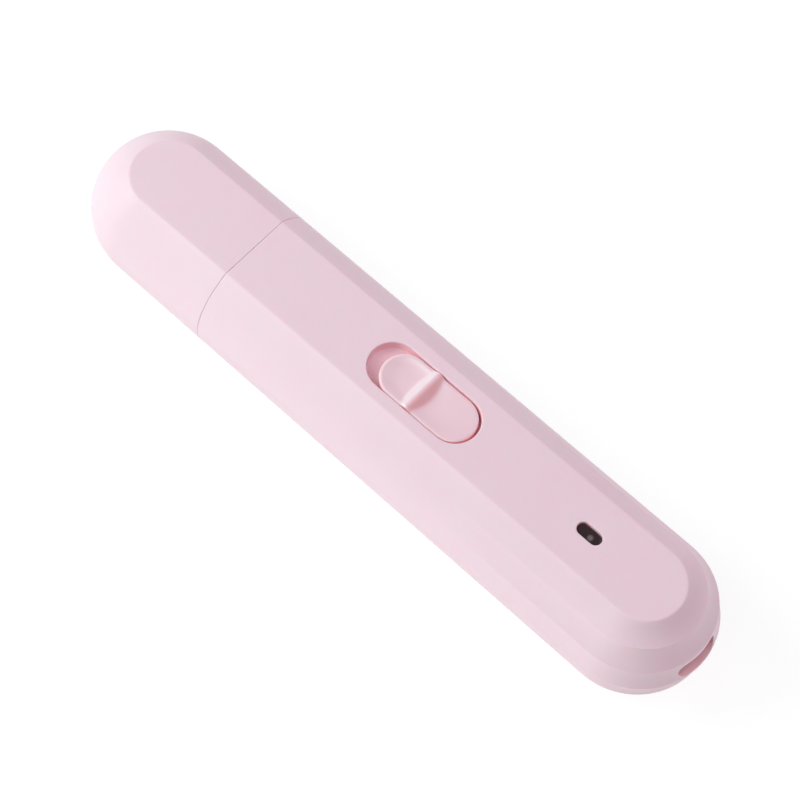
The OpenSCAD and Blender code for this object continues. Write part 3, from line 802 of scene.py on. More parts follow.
def add_screw(bm, y, z, sizes, tip_x):
    """Pan-head screw with a cross recess, seated in the collar."""
    _, thread_r, head_r, head_l = sizes
    front = SPIGOT_FRONT + SINK
    rings = turn(bm, round_off([
        (front, head_r * 0.72, 0), (front, head_r, 0.45 * MM), (front + head_l, head_r, 0.08 * MM),
        (front + head_l, thread_r, 0), (tip_x, thread_r, 0.3 * MM), (tip_x, thread_r * 0.4, 0),
    ]), y, z, 40)
    cap_off(bm, rings[-1])
    mouth = upright(bm, cross_outline(head_r * 0.62, 0.55 * MM, y, z), front)
    foot = upright(bm, cross_outline(head_r * 0.36, 0.3 * MM, y, z), front + head_l * 0.6)
    fill(bm, rings[0], mouth, normal=(-1, 0, 0))
    bridge(bm, mouth, foot)
    cap_off(bm, foot)


def motor_screws_mesh(bm):
    """Screws that hold the collar on the motor, one on each side of the axis."""
    for y, z, sizes in screw_places():
        if sizes == MOTOR_SCREW:
            add_screw(bm, y, z, sizes, span("motor_screws")[1])


def frame_screws_mesh(bm):
    """Screws that hold the collar on the inner frame, below and above the axis."""
    for y, z, sizes in screw_places():
        if sizes == FRAME_SCREW:
            add_screw(bm, y, z, sizes, span("frame_screws")[1])


# ---- drum and chuck

BAND_WALL = 0.8 * MM
BAND_EDGE = 0.12 * MM
BAND_EDGE_L = 0.25 * MM
GRIT = 0.13 * MM
GRAIN_SIZE = 0.34 * MM
FINE_SIZE = 0.16 * MM
FINE_SHARE = 0.35
SEAM_WIDTH = 0.2 * MM
SEAM_TURNS = 0.55
SEAM_DEPTH = 1.3 * GRIT
BAND_AROUND, BAND_ALONG = 240, 110
BORE_FIT = 0.01 * MM
DIMPLE_DEPTH = 0.5 * MM
DIMPLE_R = 0.95 * MM
HUB_NOSE_ROUND = 0.95 * MM
HUB_GROOVE = (2.6 * MM, 3 * MM)
SHANK_ROUND = 0.12 * MM
KNURLS = 30
KNURL_DEPTH = 0.09 * MM
KNURL_RUN_OUT = 0.15 * MM
KNURL_STEPS = 16
CHUCK_GROOVE_DEPTH = 0.12 * MM
SHAFT_BORE_L = 4.5 * MM


def grit_depth(place, edge_distance, seam_distance):
    """How far the abrasive face lies below the drum's full radius at a place on it."""
    grain = 0.5 + 0.5 * noise.noise(place / GRAIN_SIZE)
    fine = 0.5 + 0.5 * noise.noise(place / FINE_SIZE + Vector((7, 3, 5)))
    seam = 1 - smooth(SEAM_WIDTH / 2, SEAM_WIDTH, abs(seam_distance))
    edge = BAND_EDGE * (1 - smooth(0, BAND_EDGE_L, edge_distance))
    return GRIT * (1 - (1 - FINE_SHARE) * grain - FINE_SHARE * fine) * (1 - seam) + SEAM_DEPTH * seam + edge


def band_mesh(bm):
    """Abrasive sleeve: grit stands up all over it, apart from the slanting seam where the paper meets."""
    x0, x1 = span("grinding_band")
    r = half("grinding_band").y
    rings = []
    for x in (x0 + (x1 - x0) * k / BAND_ALONG for k in range(BAND_ALONG + 1)):
        seam_angle = 2 * pi * SEAM_TURNS * (x - x0) / (x1 - x0)
        ring = []
        for a in arc(0, 2 * pi, BAND_AROUND)[:-1]:
            place = Vector((x, r * cos(a), r * sin(a)))
            seam_distance = math.remainder(a - seam_angle, 2 * pi) * r
            local_r = r - grit_depth(place, min(x - x0, x1 - x), seam_distance)
            ring.append((cos(a) * local_r, sin(a) * local_r))
        rings.append(upright(bm, ring, x))
    rings += turn(bm, [(x1, r - BAND_WALL), (x0, r - BAND_WALL)], steps=BAND_AROUND)
    for first, second in zip(rings[:-2], rings[1:-1]):
        bridge(bm, first, second)
    bridge(bm, rings[-1], rings[0])


def hub_mesh(bm):
    """Drum hub with a rounded nose, a centre dimple and a turned ring, bored for the shank."""
    x0, x1 = span("drum_hub")
    r = half("drum_hub").y
    bore = half("bit_shank").y + BORE_FIT
    shank_front = x0 + 2 * MM
    ring_in, ring_out = HUB_GROOVE
    corners = [
        (x0 + DIMPLE_DEPTH, 0.15 * MM, 0), (x0 + 0.7 * DIMPLE_DEPTH, 0.7 * MM, EASE), (x0, DIMPLE_R, EASE),
        (x0, ring_in, EASE / 2), (x0 + EASE, ring_in + EASE, 0), (x0 + EASE, ring_out - EASE, 0),
        (x0, ring_out, EASE / 2), (x0, r, HUB_NOSE_ROUND), (x1, r, 0.15 * MM),
        (x1, bore, EASE), (shank_front, bore, 0),
    ]
    turn_solid(bm, corners, steps=96)


def shank_mesh(bm):
    """Ground steel shank between drum and chuck, rounded at its ends."""
    x0, x1 = span("bit_shank")
    r = half("bit_shank").y
    corners = [(x0, r * 0.8, 0), (x0, r, SHANK_ROUND), (x1, r, SHANK_ROUND), (x1, r * 0.8, 0)]
    turn_solid(bm, corners, steps=48)


def knurl(x, r, first, last):
    """Section of the chuck: straight knurls between two places, round elsewhere."""
    rise = smooth(first, first + KNURL_RUN_OUT, x) * (1 - smooth(last - KNURL_RUN_OUT, last, x))
    pairs = []
    for a in arc(0, 2 * pi, KNURLS * 6)[:-1]:
        local_r = r - KNURL_DEPTH * rise * abs(sin(KNURLS * a / 2)) ** 3
        pairs.append((local_r * cos(a), local_r * sin(a)))
    return pairs


def chuck_mesh(bm):
    """Brass chuck with a knurled band and a groove, bored from both ends."""
    x0, x1 = span("chuck")
    r = half("chuck").y
    shank, shaft = (half(node).y + BORE_FIT for node in ("bit_shank", "motor_shaft"))
    split = x1 - SHAFT_BORE_L
    first, last = x0 + 0.8 * MM, x0 + 3.6 * MM
    groove = last + 0.3 * MM
    corners = [(x0, shank, 0.15 * MM), (x0, r, 0.35 * MM)]
    corners += [(first + (last - first) * k / KNURL_STEPS, r, 0) for k in range(KNURL_STEPS + 1)]
    corners += [(groove, r, 0), (groove + 0.1 * MM, r - CHUCK_GROOVE_DEPTH, 0),
                (groove + 0.3 * MM, r - CHUCK_GROOVE_DEPTH, 0), (groove + 0.4 * MM, r, 0),
                (x1, r, 0.2 * MM), (x1, shaft, 0), (split, shaft, 0), (split, shank, 0)]
    turn_hoop(bm, corners, section=lambda x, radius: knurl(x, radius, first, last))


# ---- lens and receptacle

LENS_EDGE = 0.25 * MM
LENS_CROWN = 0.03 * MM
LENS_FLANGE = 1 * MM
USB_SKIN = 0.3 * MM
USB_BACK = 1 * MM
TONGUE_CORNER_R = 0.25 * MM
TONGUE_ROUND = 0.2 * MM
# Contacts: count in a row, distance apart, length, width, how far they sink and stand, and front margin
PAD_COUNT = 12
PAD_PITCH = 0.5 * MM
PAD_L = 3.4 * MM
PAD_W = 0.26 * MM
PAD_RISES = (-0.02 * MM, 0.03 * MM)
PAD_MARGIN = 0.7 * MM


def lens_mesh(bm):
    """Window lens: a pill with a softly crowned top and a flange under the shell."""
    low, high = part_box("led_window")
    length, width = WINDOW_L - 2 * FIT, WINDOW_W - 2 * FIT
    top, foot = high.z - AXIS_Z, low.z - AXIS_Z
    flange_top = top_z(WINDOW_X) - FLAT_WALL - 0.1 * MM
    levels = [(-0.3 * width, top), (-0.17 * width, top - LENS_CROWN)]
    levels += [(-inset, top - 2 * LENS_CROWN - drop) for inset, drop in roll_over(LENS_EDGE, 5)]
    levels += [(0, flange_top), (LENS_FLANGE, flange_top), (LENS_FLANGE, foot)]
    rings = [level_ring(bm, outline(length, width, offset=offset), WINDOW_X, z) for offset, z in levels]
    fill(bm, rings[0])
    fill(bm, sink(bm, rings[0], rings[1:]))


def port_ring_at(bm, x, size, **options):
    """Rounded section across the body at x, centred on the port, for a box of a size."""
    return upright(bm, [(y, PORT_Z + z) for y, z in outline(2 * size.y, 2 * size.z, **options)], x)


def usb_shell_mesh(bm):
    """Drawn steel shell of the receptacle, open at the mouth, with a rounded rim."""
    back, mouth = span("usb_shell")
    rim = USB_SKIN / 2
    stations = [(back + out, inset) for out, inset in reversed(roll_over(USB_SKIN))]
    stations += [(mouth - rim + rim * sin(a), rim * (1 - cos(a))) for a in arc(0, pi, 8)]
    stations.append((back + USB_BACK, USB_SKIN))
    rings = [port_ring_at(bm, x, half("usb_shell"), offset=-inset) for x, inset in stations]
    cap_off(bm, rings[0])
    cap_off(bm, sink(bm, rings[0], rings[1:]))


def tongue_mesh(bm):
    """Contact tongue of the receptacle, with a rounded front."""
    back, front = span("usb_tongue")
    stations = [(back, 0)] + [(front - out, inset) for out, inset in roll_over(TONGUE_ROUND)]
    rings = [port_ring_at(bm, x, half("usb_tongue"), corner_r=TONGUE_CORNER_R, offset=-inset, arc_steps=4)
             for x, inset in stations]
    cap_off(bm, rings[0])
    cap_off(bm, sink(bm, rings[0], rings[1:]))


def contacts_mesh(bm):
    """Gold-plated contacts on both faces of the tongue."""
    x = span("usb_tongue")[1] - PAD_MARGIN - PAD_L / 2
    tongue_z = half("usb_tongue").z
    pad = outline(PAD_L, PAD_W, corner_r=0.06 * MM, arc_steps=2)
    for side in (-1, 1):
        for k in range(PAD_COUNT):
            y = (k - (PAD_COUNT - 1) / 2) * PAD_PITCH
            low, high = (level_ring(bm, [(u, y + v) for u, v in pad], x, PORT_Z + side * (tongue_z + rise))
                         for rise in PAD_RISES)
            bridge(bm, low, high)
            fill(bm, high, normal=(0, 0, side))
            fill(bm, low, normal=(0, 0, -side))


# ---- materials

class Material:
    """Principled material with helpers for building its patterns, whose coordinates are in metres."""

    def __init__(self, name, **constants):
        """Makes the material and sets its shader's sockets to constants."""
        self.data = bpy.data.materials.new(name)
        self.data.use_nodes = True
        self.tree = self.data.node_tree
        self.shader = self.tree.nodes["Principled BSDF"]
        self.place = self.node("TexCoord").outputs["Object"]
        for key, value in constants.items():
            self.shader.inputs[key.replace("_", " ")].default_value = value

    def node(self, kind, inputs=None, **settings):
        """Adds a node, and sets or connects its inputs."""
        new = self.tree.nodes.new("ShaderNode" + kind)
        for key, value in settings.items():
            setattr(new, key, value)
        for key, value in (inputs or {}).items():
            self.feed(new.inputs[key], value)
        return new

    def feed(self, socket, value):
        """Connects a socket to another one, or sets its value."""
        if isinstance(value, bpy.types.NodeSocket):
            self.tree.links.new(value, socket)
        else:
            socket.default_value = value

    def stretched(self, *scale, turn=(0, 0, 0)):
        """Object coordinates scaled per axis, and turned."""
        inputs = {"Vector": self.place, "Scale": scale, "Rotation": turn}
        return self.node("Mapping", inputs).outputs["Vector"]

    def split(self, vector):
        """X, Y and Z of a vector."""
        return self.node("SeparateXYZ", {"Vector": vector}).outputs

    def maths(self, operation, *values):
        """Result of a sum on one to three values."""
        return self.node("Math", dict(enumerate(values)), operation=operation).outputs[0]

    def product(self, *values):
        """Product of several patterns."""
        result = values[0]
        for value in values[1:]:
            result = self.maths("MULTIPLY", result, value)
        return result

    def uprightness(self):
        """How far the surface faces along X, and how far up or down, each 0 to 1."""
        parts = self.split(self.node("TexCoord").outputs["Normal"])
        return self.maths("ABSOLUTE", parts["X"]), self.maths("ABSOLUTE", parts["Z"])

    def noise(self, size, detail=2, vector=None):
        """Cloudy pattern, 0 to 1, with features of a size in metres."""
        vector = vector or self.place
        return self.node("TexNoise", {"Vector": vector, "Scale": 1 / size, "Detail": detail}).outputs["Fac"]

    def brushed(self, size, length):
        """Streaks along the body, with a width and a length in metres."""
        return self.noise(1, 3, self.stretched(1 / length, 1 / size, 1 / size))

    def waves(self, axis, pitch, vector, blur, detail, detail_scale):
        """Parallel waves across an axis with a pitch in metres."""
        return self.node("TexWave", {
            "Vector": vector, "Scale": pi / (10 * pitch), "Distortion": blur, "Detail": detail,
            "Detail Scale": detail_scale,
        }, bands_direction=axis).outputs["Fac"]

    def rings(self, pitch, blur=1.5):
        """Lathe rings across the body axis with a pitch in metres."""
        return self.waves("X", pitch, self.place, blur, 2, 3)

    def cells(self, size, output="Distance"):
        """Crystal pattern with cells of a size in metres."""
        return self.node("TexVoronoi", {"Vector": self.place, "Scale": 1 / size}).outputs[output]

    def spread(self, value, low, high, start=0.3, stop=0.7):
        """A pattern mapped from start..stop to low..high, clamped."""
        return self.node("MapRange", {
            "Value": value, "From Min": start, "From Max": stop, "To Min": low, "To Max": high,
        }).outputs["Result"]

    def mix(self, factor, first, second):
        """Blend of two colours, each a socket or three values."""
        first, second = (c if isinstance(c, bpy.types.NodeSocket) else (*c, 1) for c in (first, second))
        inputs = {"Factor": factor, "A": first, "B": second}
        return self.node("Mix", inputs, data_type="RGBA").outputs["Result"]

    def tint(self, pattern, first, second, start=0.3, stop=0.7, most=1):
        """Colour that turns from the first towards the second as a pattern rises from start to stop."""
        return self.mix(self.spread(pattern, 0, most, start, stop), first, second)

    def finish(self, colour, rough, height=None, depth=0.00001, strength=1):
        """Connects colour, roughness and relief, whose depth is in metres. Returns the material."""
        self.feed(self.shader.inputs["Base Color"], colour)
        self.feed(self.shader.inputs["Roughness"], rough)
        if height:
            bump = self.node("Bump", {"Height": height, "Distance": depth, "Strength": strength})
            self.feed(self.shader.inputs["Normal"], bump.outputs["Normal"])
        return self.data


def near_place(mat, value, centre, reach, blur=0.1 * MM):
    """1 within a reach of a place along one axis, falling to 0 just outside."""
    away = mat.maths("ABSOLUTE", mat.maths("SUBTRACT", value, centre))
    return mat.spread(away, 1, 0, reach, reach + blur)


def shell_painted_glow(mat):
    """Mask of painted red glow: the shaded walls of the recess, window, cap joint and port, painted redder
    where light would come back through the plastic.
    """
    x, y, z = mat.split(mat.place)
    facing_x, facing_z = mat.uprightness()
    slope = (top_z(TAIL_CX) - top_z(NOSE_CX)) / (TAIL_CX - NOSE_CX)
    depth = mat.maths("SUBTRACT", mat.maths("MULTIPLY_ADD", x, slope, top_z(0) + AXIS_Z), z)
    first, last = RECESS_X - RECESS_L / 2, WINDOW_X + WINDOW_L / 2
    recess_end = RECESS_X + RECESS_L / 2
    shaded = mat.maths("MAXIMUM", mat.spread(facing_z, 1, 0.3, 0.3, 0.95),
                       near_place(mat, x, recess_end, 0.6 * MM, 0.6 * MM))
    opening = mat.product(
        shaded, mat.spread(depth, 0, 1, 0.1 * MM, 0.6 * MM),
        near_place(mat, depth, 1.5 * MM, 1.4 * MM), near_place(mat, y, 0, RECESS_W / 2 + 0.1 * MM),
        near_place(mat, x, (first + last) / 2, (last - first) / 2 + 0.2 * MM),
        mat.spread(x, 0.45, 0.85, first, recess_end))
    joint = mat.product(near_place(mat, x, (SEAM_X + RIM_X) / 2, 0.15 * MM, 0.2 * MM),
                        mat.spread(facing_x, 0, 0.3, 0.6, 0.95))
    port = mat.product(mat.spread(x, 0, 1, TAIL_CX + TAIL_R - WALL, TAIL_CX + TAIL_R - WALL + 0.1 * MM),
                       mat.spread(facing_x, 0.6, 0, 0.3, 0.75))
    return mat.maths("MAXIMUM", mat.maths("MAXIMUM", opening, joint), port)


def button_painted_glow(mat):
    """Mask of painted red shade and glow: the sides of the button and the shaded slope behind its ridge,
    painted redder like the shaded walls of the shell.
    """
    sides = mat.spread(mat.uprightness()[1], 1, 0, 0.1, 0.5)
    facing = mat.split(mat.node("TexCoord").outputs["Normal"])["X"]
    slope = mat.product(mat.spread(facing, 0, 0.75, 0.05, 0.5),
                        near_place(mat, mat.split(mat.place)["X"], RIDGE_X + 1.2 * MM, 1 * MM, 2 * MM))
    return mat.maths("MAXIMUM", sides, slope)


def button_painted_highlight(mat):
    """Mask of painted highlight: the rounded edges and ridge of the button, painted paler as if lit."""
    facing_z = mat.uprightness()[1]
    return mat.product(mat.spread(facing_z, 0, 1, 0.2, 0.5), mat.spread(facing_z, 1, 0, 0.86, 0.96))


def shell_plastic(name, colour, rough, painted_glow, painted_highlight=None):
    """Satin moulded plastic: faint colour drift, fine spark-eroded grain and a little light inside, with red
    glow painted into shaded walls and, where given, a painted highlight on rounded edges.
    """
    mat = Material(name, Subsurface_Weight=0.3, Subsurface_Radius=(1, 0.3, 0.25), Subsurface_Scale=0.8 * MM)
    deep = tuple(c * s for c, s in zip(colour, (0.992, 0.975, 0.982)))
    grain = mat.noise(0.16 * MM, 3)
    tone = mat.tint(mat.noise(14 * MM, 4), deep, colour)
    # Where given, a painted highlight on the rounded edges is mixed in
    if painted_highlight:
        tone = mat.mix(painted_highlight(mat), tone, PAINTED_HIGHLIGHT_PINK)
    # Painted red glow over the shaded walls is mixed in
    return mat.finish(mat.mix(painted_glow(mat), tone, PAINTED_GLOW_RED), mat.spread(grain, rough - 0.06, rough + 0.06),
                      grain, 0.004 * MM, 0.6)


def moulded_plastic(name, colour, rough, grain=0.1 * MM, **constants):
    """Moulded plastic with flow streaks, fine grain and a drift in colour."""
    mat = Material(name, **constants)
    deep = tuple(c * 0.9 for c in colour)
    fine = mat.noise(grain, 3)
    return mat.finish(mat.tint(mat.brushed(1.2 * MM, 9 * MM), deep, colour),
                      mat.spread(fine, rough - 0.07, rough + 0.07), fine, 0.006 * MM, 0.5)


def rubber(name, colour, dust):
    """Matte rubber with fine pits and a bloom of dust."""
    mat = Material(name, Specular_IOR_Level=0.35)
    pits = mat.noise(0.07 * MM, 4)
    return mat.finish(mat.tint(mat.noise(1.6 * MM, 5), colour, dust, 0.45, 0.75, 0.5),
                      mat.spread(pits, 0.62, 0.8), pits, 0.012 * MM, 0.6)


def turned_metal(name, colour, dark, rough, pitch=0.09 * MM):
    """Metal turned on a lathe: fine rings, duller in patches."""
    mat = Material(name, Metallic=1, Anisotropic=0.4)
    lathe = mat.rings(pitch)
    return mat.finish(mat.tint(mat.noise(2.2 * MM, 4), colour, dark, 0.45, 0.75, 0.6),
                      mat.spread(lathe, rough, rough + 0.12), lathe, 0.0015 * MM, 0.5)


def sheet_metal(name, colour, dark, rough, length=6 * MM):
    """Rolled or drawn sheet: long fine streaks and cloudy handling marks."""
    mat = Material(name, Metallic=1, Anisotropic=0.3)
    streaks = mat.brushed(0.06 * MM, length)
    return mat.finish(mat.tint(mat.noise(3 * MM, 5), colour, dark, 0.45, 0.75, 0.55),
                      mat.spread(streaks, rough - 0.06, rough + 0.1), streaks, 0.001 * MM, 0.5)


def sintered(name, colour, dark, metallic, grain=0.12 * MM):
    """Pressed powder: packed grains with dark pores."""
    mat = Material(name, Metallic=metallic)
    grains = mat.cells(grain)
    return mat.finish(mat.tint(mat.noise(0.2 * MM, 3), colour, dark, 0.55, 0.7),
                      mat.spread(grains, 0.45, 0.7, 0, 0.8), grains, 0.008 * MM, 0.7)


def laminated(name):
    """Stack of thin steel sheets with dark insulation between them."""
    mat = Material(name, Metallic=0.9)
    stack = mat.rings(0.5 * MM, 0)
    return mat.finish(mat.tint(stack, (0.05, 0.05, 0.055), (0.33, 0.33, 0.35), 0.05, 0.3),
                      mat.spread(mat.noise(0.3 * MM), 0.35, 0.55), stack, 0.03 * MM, 0.8)


def winding(name):
    """Enamelled copper wire laid side by side."""
    mat = Material(name, Metallic=0.85, Coat_Weight=0.6, Coat_Roughness=0.15)
    slanted = mat.stretched(0, 1, 1, turn=(radians(38), 0, 0))
    wires = mat.waves("Y", 0.28 * MM, slanted, 0.6, 1, 1)
    return mat.finish(mat.tint(wires, (0.18, 0.05, 0.02), (0.62, 0.24, 0.09), 0.1, 0.6),
                      mat.spread(wires, 0.45, 0.28), wires, 0.08 * MM, 0.9)


def abrasive(name):
    """Bonded aluminium oxide grit: dark resin with lighter, sharp, glinting grains."""
    mat = Material(name, Specular_IOR_Level=0.6)
    shade = mat.node("SeparateColor", {"Color": mat.cells(0.2 * MM, "Color")}).outputs["Red"]
    grains = mat.cells(0.2 * MM)
    body = mat.tint(shade, (0.13, 0.105, 0.09), (0.42, 0.36, 0.31), 0.1, 0.9)
    return mat.finish(mat.tint(grains, body, (0.05, 0.035, 0.03), most=0.8),
                      mat.spread(shade, 0.8, 0.3, 0.6, 0.95), grains, 0.05 * MM, 0.8)


def film(name):
    """Shrink film round the cell: glossy, with faint crinkles and scuffs."""
    mat = Material(name, Coat_Weight=0.5, Coat_Roughness=0.08)
    crinkle = mat.brushed(0.8 * MM, 5 * MM)
    return mat.finish(mat.tint(crinkle, (0.016, 0.1, 0.3), (0.022, 0.13, 0.36)),
                      mat.spread(mat.noise(0.5 * MM, 5), 0.22, 0.4), crinkle, 0.04 * MM, 0.5)


def circuit(name):
    """Solder mask over copper tracks on woven glass."""
    mat = Material(name, Coat_Weight=0.3, Coat_Roughness=0.2)
    tracks = mat.node("TexBrick", {
        "Vector": mat.place, "Scale": 1 / (1.6 * MM), "Mortar Size": 0.05, "Mortar Smooth": 0.2,
        "Color1": (0, 0, 0, 1), "Color2": (0.2, 0.2, 0.2, 1), "Mortar": (1, 1, 1, 1),
    }).outputs["Color"]
    weave = mat.noise(1, 1, mat.stretched(1 / (0.1 * MM), 1 / (0.5 * MM), 1 / (0.1 * MM)))
    return mat.finish(mat.mix(tracks, (0.007, 0.105, 0.04), (0.02, 0.2, 0.075)),
                      mat.spread(weave, 0.3, 0.45), weave, 0.008 * MM, 0.5)


def smoked_lens(name):
    """Glossy dark lens: a soft grey lamp spot shows through, over a faint red depth."""
    mat = Material(name, Coat_Weight=0.6, Coat_Roughness=0.04)
    away = mat.node("VectorMath", {0: mat.place, 1: tuple(LAMP_SPOT)}, operation="DISTANCE").outputs["Value"]
    mottle = mat.noise(0.5 * MM, 2)
    depth = mat.tint(mottle, (0.021, 0.009, 0.012), (0.034, 0.013, 0.018))
    return mat.finish(mat.tint(away, (0.16, 0.125, 0.135), depth, 0.25 * MM, 0.75 * MM),
                      mat.spread(mat.noise(0.2 * MM, 3), 0.16, 0.26), mottle, 0.002 * MM, 0.3)


def insulation(name):
    """Glossy wire insulation, slightly wavy."""
    mat = Material(name, Coat_Weight=0.3, Coat_Roughness=0.15)
    wavy = mat.noise(0.7 * MM, 2)
    return mat.finish(mat.mix(wavy, (0.3, 0.012, 0.012), (0.42, 0.02, 0.018)), mat.spread(wavy, 0.3, 0.42),
                      wavy, 0.03 * MM, 0.4)


def clear(name):
    """Clear moulded light guide with faint flow marks."""
    mat = Material(name, Transmission_Weight=0.85, IOR=1.49)
    flow = mat.brushed(0.6 * MM, 2 * MM)
    return mat.finish(mat.mix(flow, (0.86, 0.9, 0.92), (0.93, 0.95, 0.96)), mat.spread(flow, 0.12, 0.25),
                      flow, 0.006 * MM, 0.4)


# ---- the object

SHELL_PINK = (0.86, 0.64, 0.715)
BUTTON_PINK = (0.86, 0.61, 0.68)
# Painted red glow for shaded walls, crevices and the slope behind the button's ridge, standing in for light
# that comes back through the plastic
PAINTED_GLOW_RED = (1, 0.48, 0.52)
# Painted highlight colour for the button's rounded edges and ridge
PAINTED_HIGHLIGHT_PINK = (0.91, 0.71, 0.77)
SHELL_ROUGH = 0.48
BUTTON_ROUGH = 0.38
LAMP_SPOT = point(WINDOW_X + 0.55 * MM, -0.4 * MM, top_z(WINDOW_X) - 0.5 * MM)


def make_pieces():
    """Detailed pieces, each standing for a CAD node."""
    pink = shell_plastic("shell_pink", SHELL_PINK, SHELL_ROUGH, shell_painted_glow)
    button_pink = shell_plastic("button_pink", BUTTON_PINK, BUTTON_ROUGH, button_painted_glow, button_painted_highlight)
    collar = moulded_plastic("collar_plastic", (0.86, 0.76, 0.77), 0.42)
    seal = rubber("seal_rubber", (0.33, 0.31, 0.31), (0.48, 0.46, 0.45))
    shield = rubber("shield_rubber", (0.025, 0.023, 0.025), (0.09, 0.085, 0.085))
    grit = abrasive("abrasive")
    steel = turned_metal("tool_steel", (0.62, 0.62, 0.63), (0.42, 0.41, 0.41), 0.22)
    brass = turned_metal("chuck_brass", (0.72, 0.55, 0.24), (0.5, 0.35, 0.14), 0.26)
    zinc = turned_metal("screw_steel", (0.6, 0.61, 0.62), (0.42, 0.42, 0.43), 0.28, 0.12 * MM)
    drawn = sheet_metal("port_steel", (0.55, 0.56, 0.57), (0.4, 0.4, 0.4), 0.3)
    black = moulded_plastic("tongue_black", (0.014, 0.014, 0.015), 0.45)
    gold = sheet_metal("contact_gold", (0.85, 0.62, 0.25), (0.6, 0.42, 0.16), 0.25)
    lens = smoked_lens("smoked_lens")
    for name, build, material, body, slot, *nodes in (
        ("housing_shell", housing_mesh, pink, "body", "shell_pink", "housing"),
        ("cap_shell", cap_mesh, pink, "cap", "shell_pink", "front_cap"),
        ("thumb_button", button_mesh, button_pink, "slider", "button_pink", "slide_button"),
        ("collar", collar_mesh, collar, "body", "collar_plastic", "nose_collar"),
        ("cap_seal", seal_mesh, seal, "body", "seal_rubber", "cap_seal_ring"),
        ("dust_lip", shield_mesh, shield, "body", "shield_rubber", "dust_shield"),
        ("grit_sleeve", band_mesh, grit, "spindle", "abrasive", "grinding_band"),
        ("drum_core", hub_mesh, steel, "spindle", "tool_steel", "drum_hub"),
        ("tool_shank", shank_mesh, steel, "spindle", "tool_steel", "bit_shank"),
        ("knurled_chuck", chuck_mesh, brass, "spindle", "chuck_brass", "chuck"),
        ("collar_screws", motor_screws_mesh, zinc, "body", "screw_steel", "motor_screws"),
        ("long_screws", frame_screws_mesh, zinc, "body", "screw_steel", "frame_screws"),
        ("port_shell", usb_shell_mesh, drawn, "body", "port_steel", "usb_shell"),
        ("port_tongue", tongue_mesh, black, "body", "black_plastic", "usb_tongue"),
        ("port_contacts", contacts_mesh, gold, "body", "nickel"),
        ("lamp_lens", lens_mesh, lens, "body", "smoked_lens", "led_window"),
    ):
        add_piece(name, build, material, body, nodes)
    return steel, brass, black


def finish_inside(steel, brass, black):
    """Materials of the CAD nodes that stay: the works inside the shell."""
    copper = turned_metal("commutator_copper", (0.66, 0.3, 0.14), (0.42, 0.18, 0.08), 0.25)
    bronze = sintered("bronze", (0.42, 0.27, 0.11), (0.16, 0.1, 0.05), 0.8)
    can = sheet_metal("can_steel", (0.52, 0.53, 0.54), (0.38, 0.38, 0.39), 0.32)
    cell = sheet_metal("cell_steel", (0.55, 0.56, 0.57), (0.4, 0.4, 0.41), 0.28, 10 * MM)
    nickel = sheet_metal("nickel", (0.62, 0.6, 0.56), (0.45, 0.43, 0.4), 0.3, 3 * MM)
    finishes = {
        "motor_shaft": steel, "motor_can": can, "motor_end_cap": black, "motor_terminals": brass,
        "motor_magnets": sintered("magnet_ferrite", (0.045, 0.045, 0.048), (0.02, 0.02, 0.022), 0),
        "rotor_core": laminated("core_steel"), "rotor_windings": winding("copper"), "commutator": copper,
        "motor_brushes": sintered("carbon", (0.018, 0.018, 0.02), (0.008, 0.008, 0.009), 0.2, 0.06 * MM),
        "front_bush": bronze, "rear_bush": bronze,
        "thrust_washers": moulded_plastic("washer_plastic", (0.72, 0.69, 0.6), 0.5),
        "inner_frame": moulded_plastic("frame_plastic", (0.62, 0.6, 0.58), 0.52, 0.16 * MM),
        "battery_cell": cell, "battery_sleeve": film("sleeve_film"), "battery_tabs": nickel,
        "circuit_board": circuit("board_green"),
        "board_chips": moulded_plastic("chip_epoxy", (0.02, 0.02, 0.022), 0.55),
        "switch_base": black, "switch_actuator": black,
        "switch_frame": sheet_metal("switch_steel", (0.6, 0.61, 0.62), (0.45, 0.45, 0.46), 0.28, 2 * MM),
        "indicator_led": moulded_plastic("led_body", (0.82, 0.8, 0.66), 0.2, Coat_Weight=0.4),
        "light_pipe": clear("clear_plastic"), "motor_wires": insulation("wire_red"),
    }
    for name, material in finishes.items():
        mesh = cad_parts[name].data
        mesh.materials.clear()
        mesh.materials.append(material)


# ---- the studio

# Soft lights round the object: (name, azimuth, elevation, power in watts, colour)
LIGHTS = (
    ("key", -56, 40, 3.45, (0.81, 0.985, 0.94)),
    ("low_front", -36, 15, 1.4, (0.78, 1, 0.93)),
    ("top", 0, 60, 1.55, (1, 0.96, 0.985)),
    ("low_back", -128, 30, 0.85, (1, 1, 1)),
    ("far_side", 146, 45, 1.62, (1, 0.92, 0.99)),
)
LIGHT_SIZE = 0.5
LIGHT_DISTANCE = 0.8
WORLD_STRENGTH = 0.2
# Camera: angles in degrees, distance in metres, lens in millimetres, and the point that it aims at,
# measured from the body's middle to the right and up in the picture
CAMERA_AZIMUTH, CAMERA_ELEVATION, CAMERA_ROLL = 34.146, 64.187, 9.247
CAMERA_DISTANCE = 0.659192
CAMERA_LENS = 159.87
AIM_RIGHT, AIM_UP = 0.2013 * MM, 1.0444 * MM


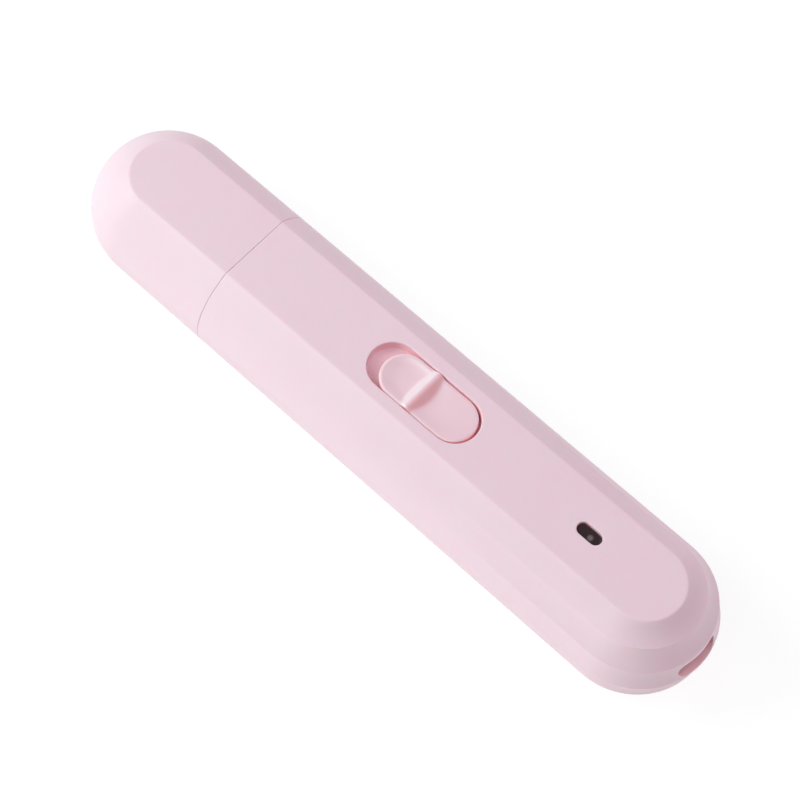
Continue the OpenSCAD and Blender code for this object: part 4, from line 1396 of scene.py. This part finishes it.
def add_floor():
    """Plain white floor that glows a little, so that shadows on it stay faint."""
    bm = bmesh.new()
    bmesh.ops.create_grid(bm, x_segments=1, y_segments=1, size=3)
    mesh = bpy.data.meshes.new("floor")
    bm.to_mesh(mesh)
    bm.free()
    mat = Material("floor_white", Specular_IOR_Level=0, Emission_Color=(1, 1, 1, 1), Emission_Strength=0.83)
    cloud = mat.noise(0.4, 3)
    mesh.materials.append(mat.finish(mat.mix(cloud, (0.215, 0.215, 0.215), (0.225, 0.225, 0.225)), 0.9))
    floor = link("floor", mesh)


def direction(azimuth, elevation):
    """Unit vector towards a place round the object, by its angles in degrees."""
    a, e = radians(azimuth), radians(elevation)
    return Vector((sin(a) * cos(e), -cos(a) * cos(e), sin(e)))


def add_camera():
    """Camera at the viewing angle of the reference, rolled a little, with a long lens."""
    roll = radians(CAMERA_ROLL)
    back = direction(CAMERA_AZIMUTH, CAMERA_ELEVATION)
    right = Vector((-back.y, back.x, 0)).normalized()
    up = back.cross(right)
    side = right * cos(roll) + up * sin(roll)
    top = up * cos(roll) - right * sin(roll)
    aim = Vector((0, 0, AXIS_Z)) + side * AIM_RIGHT + top * AIM_UP
    data = bpy.data.cameras.new("camera")
    data.lens = CAMERA_LENS
    data.sensor_width = 36
    data.clip_start = 0.01
    data.clip_end = 20
    camera = link("camera", data)
    camera.matrix_world = Matrix((side, top, back)).transposed().to_4x4()
    camera.location = aim + back * CAMERA_DISTANCE
    bpy.context.scene.camera = camera


def add_light(name, azimuth, elevation, power, colour):
    """Large round soft light, aimed at the object."""
    back = direction(azimuth, elevation)
    data = bpy.data.lights.new(name, "AREA")
    data.shape = "DISK"
    data.size = LIGHT_SIZE
    data.energy = power
    data.color = colour
    light = link(name, data)
    light.rotation_mode = "QUATERNION"
    light.rotation_quaternion = back.to_track_quat("Z", "Y")
    light.location = back * LIGHT_DISTANCE


def add_world():
    """Even white light from all round."""
    world = bpy.data.worlds.new("studio")
    world.use_nodes = True
    background = world.node_tree.nodes["Background"]
    background.inputs["Color"].default_value = (1, 1, 1, 1)
    background.inputs["Strength"].default_value = WORLD_STRENGTH
    bpy.context.scene.world = world


finish_inside(*make_pieces())
add_floor()
add_camera()
add_world()
for light in LIGHTS:
    add_light(*light)
bpy.context.scene.view_settings.view_transform = "Standard"
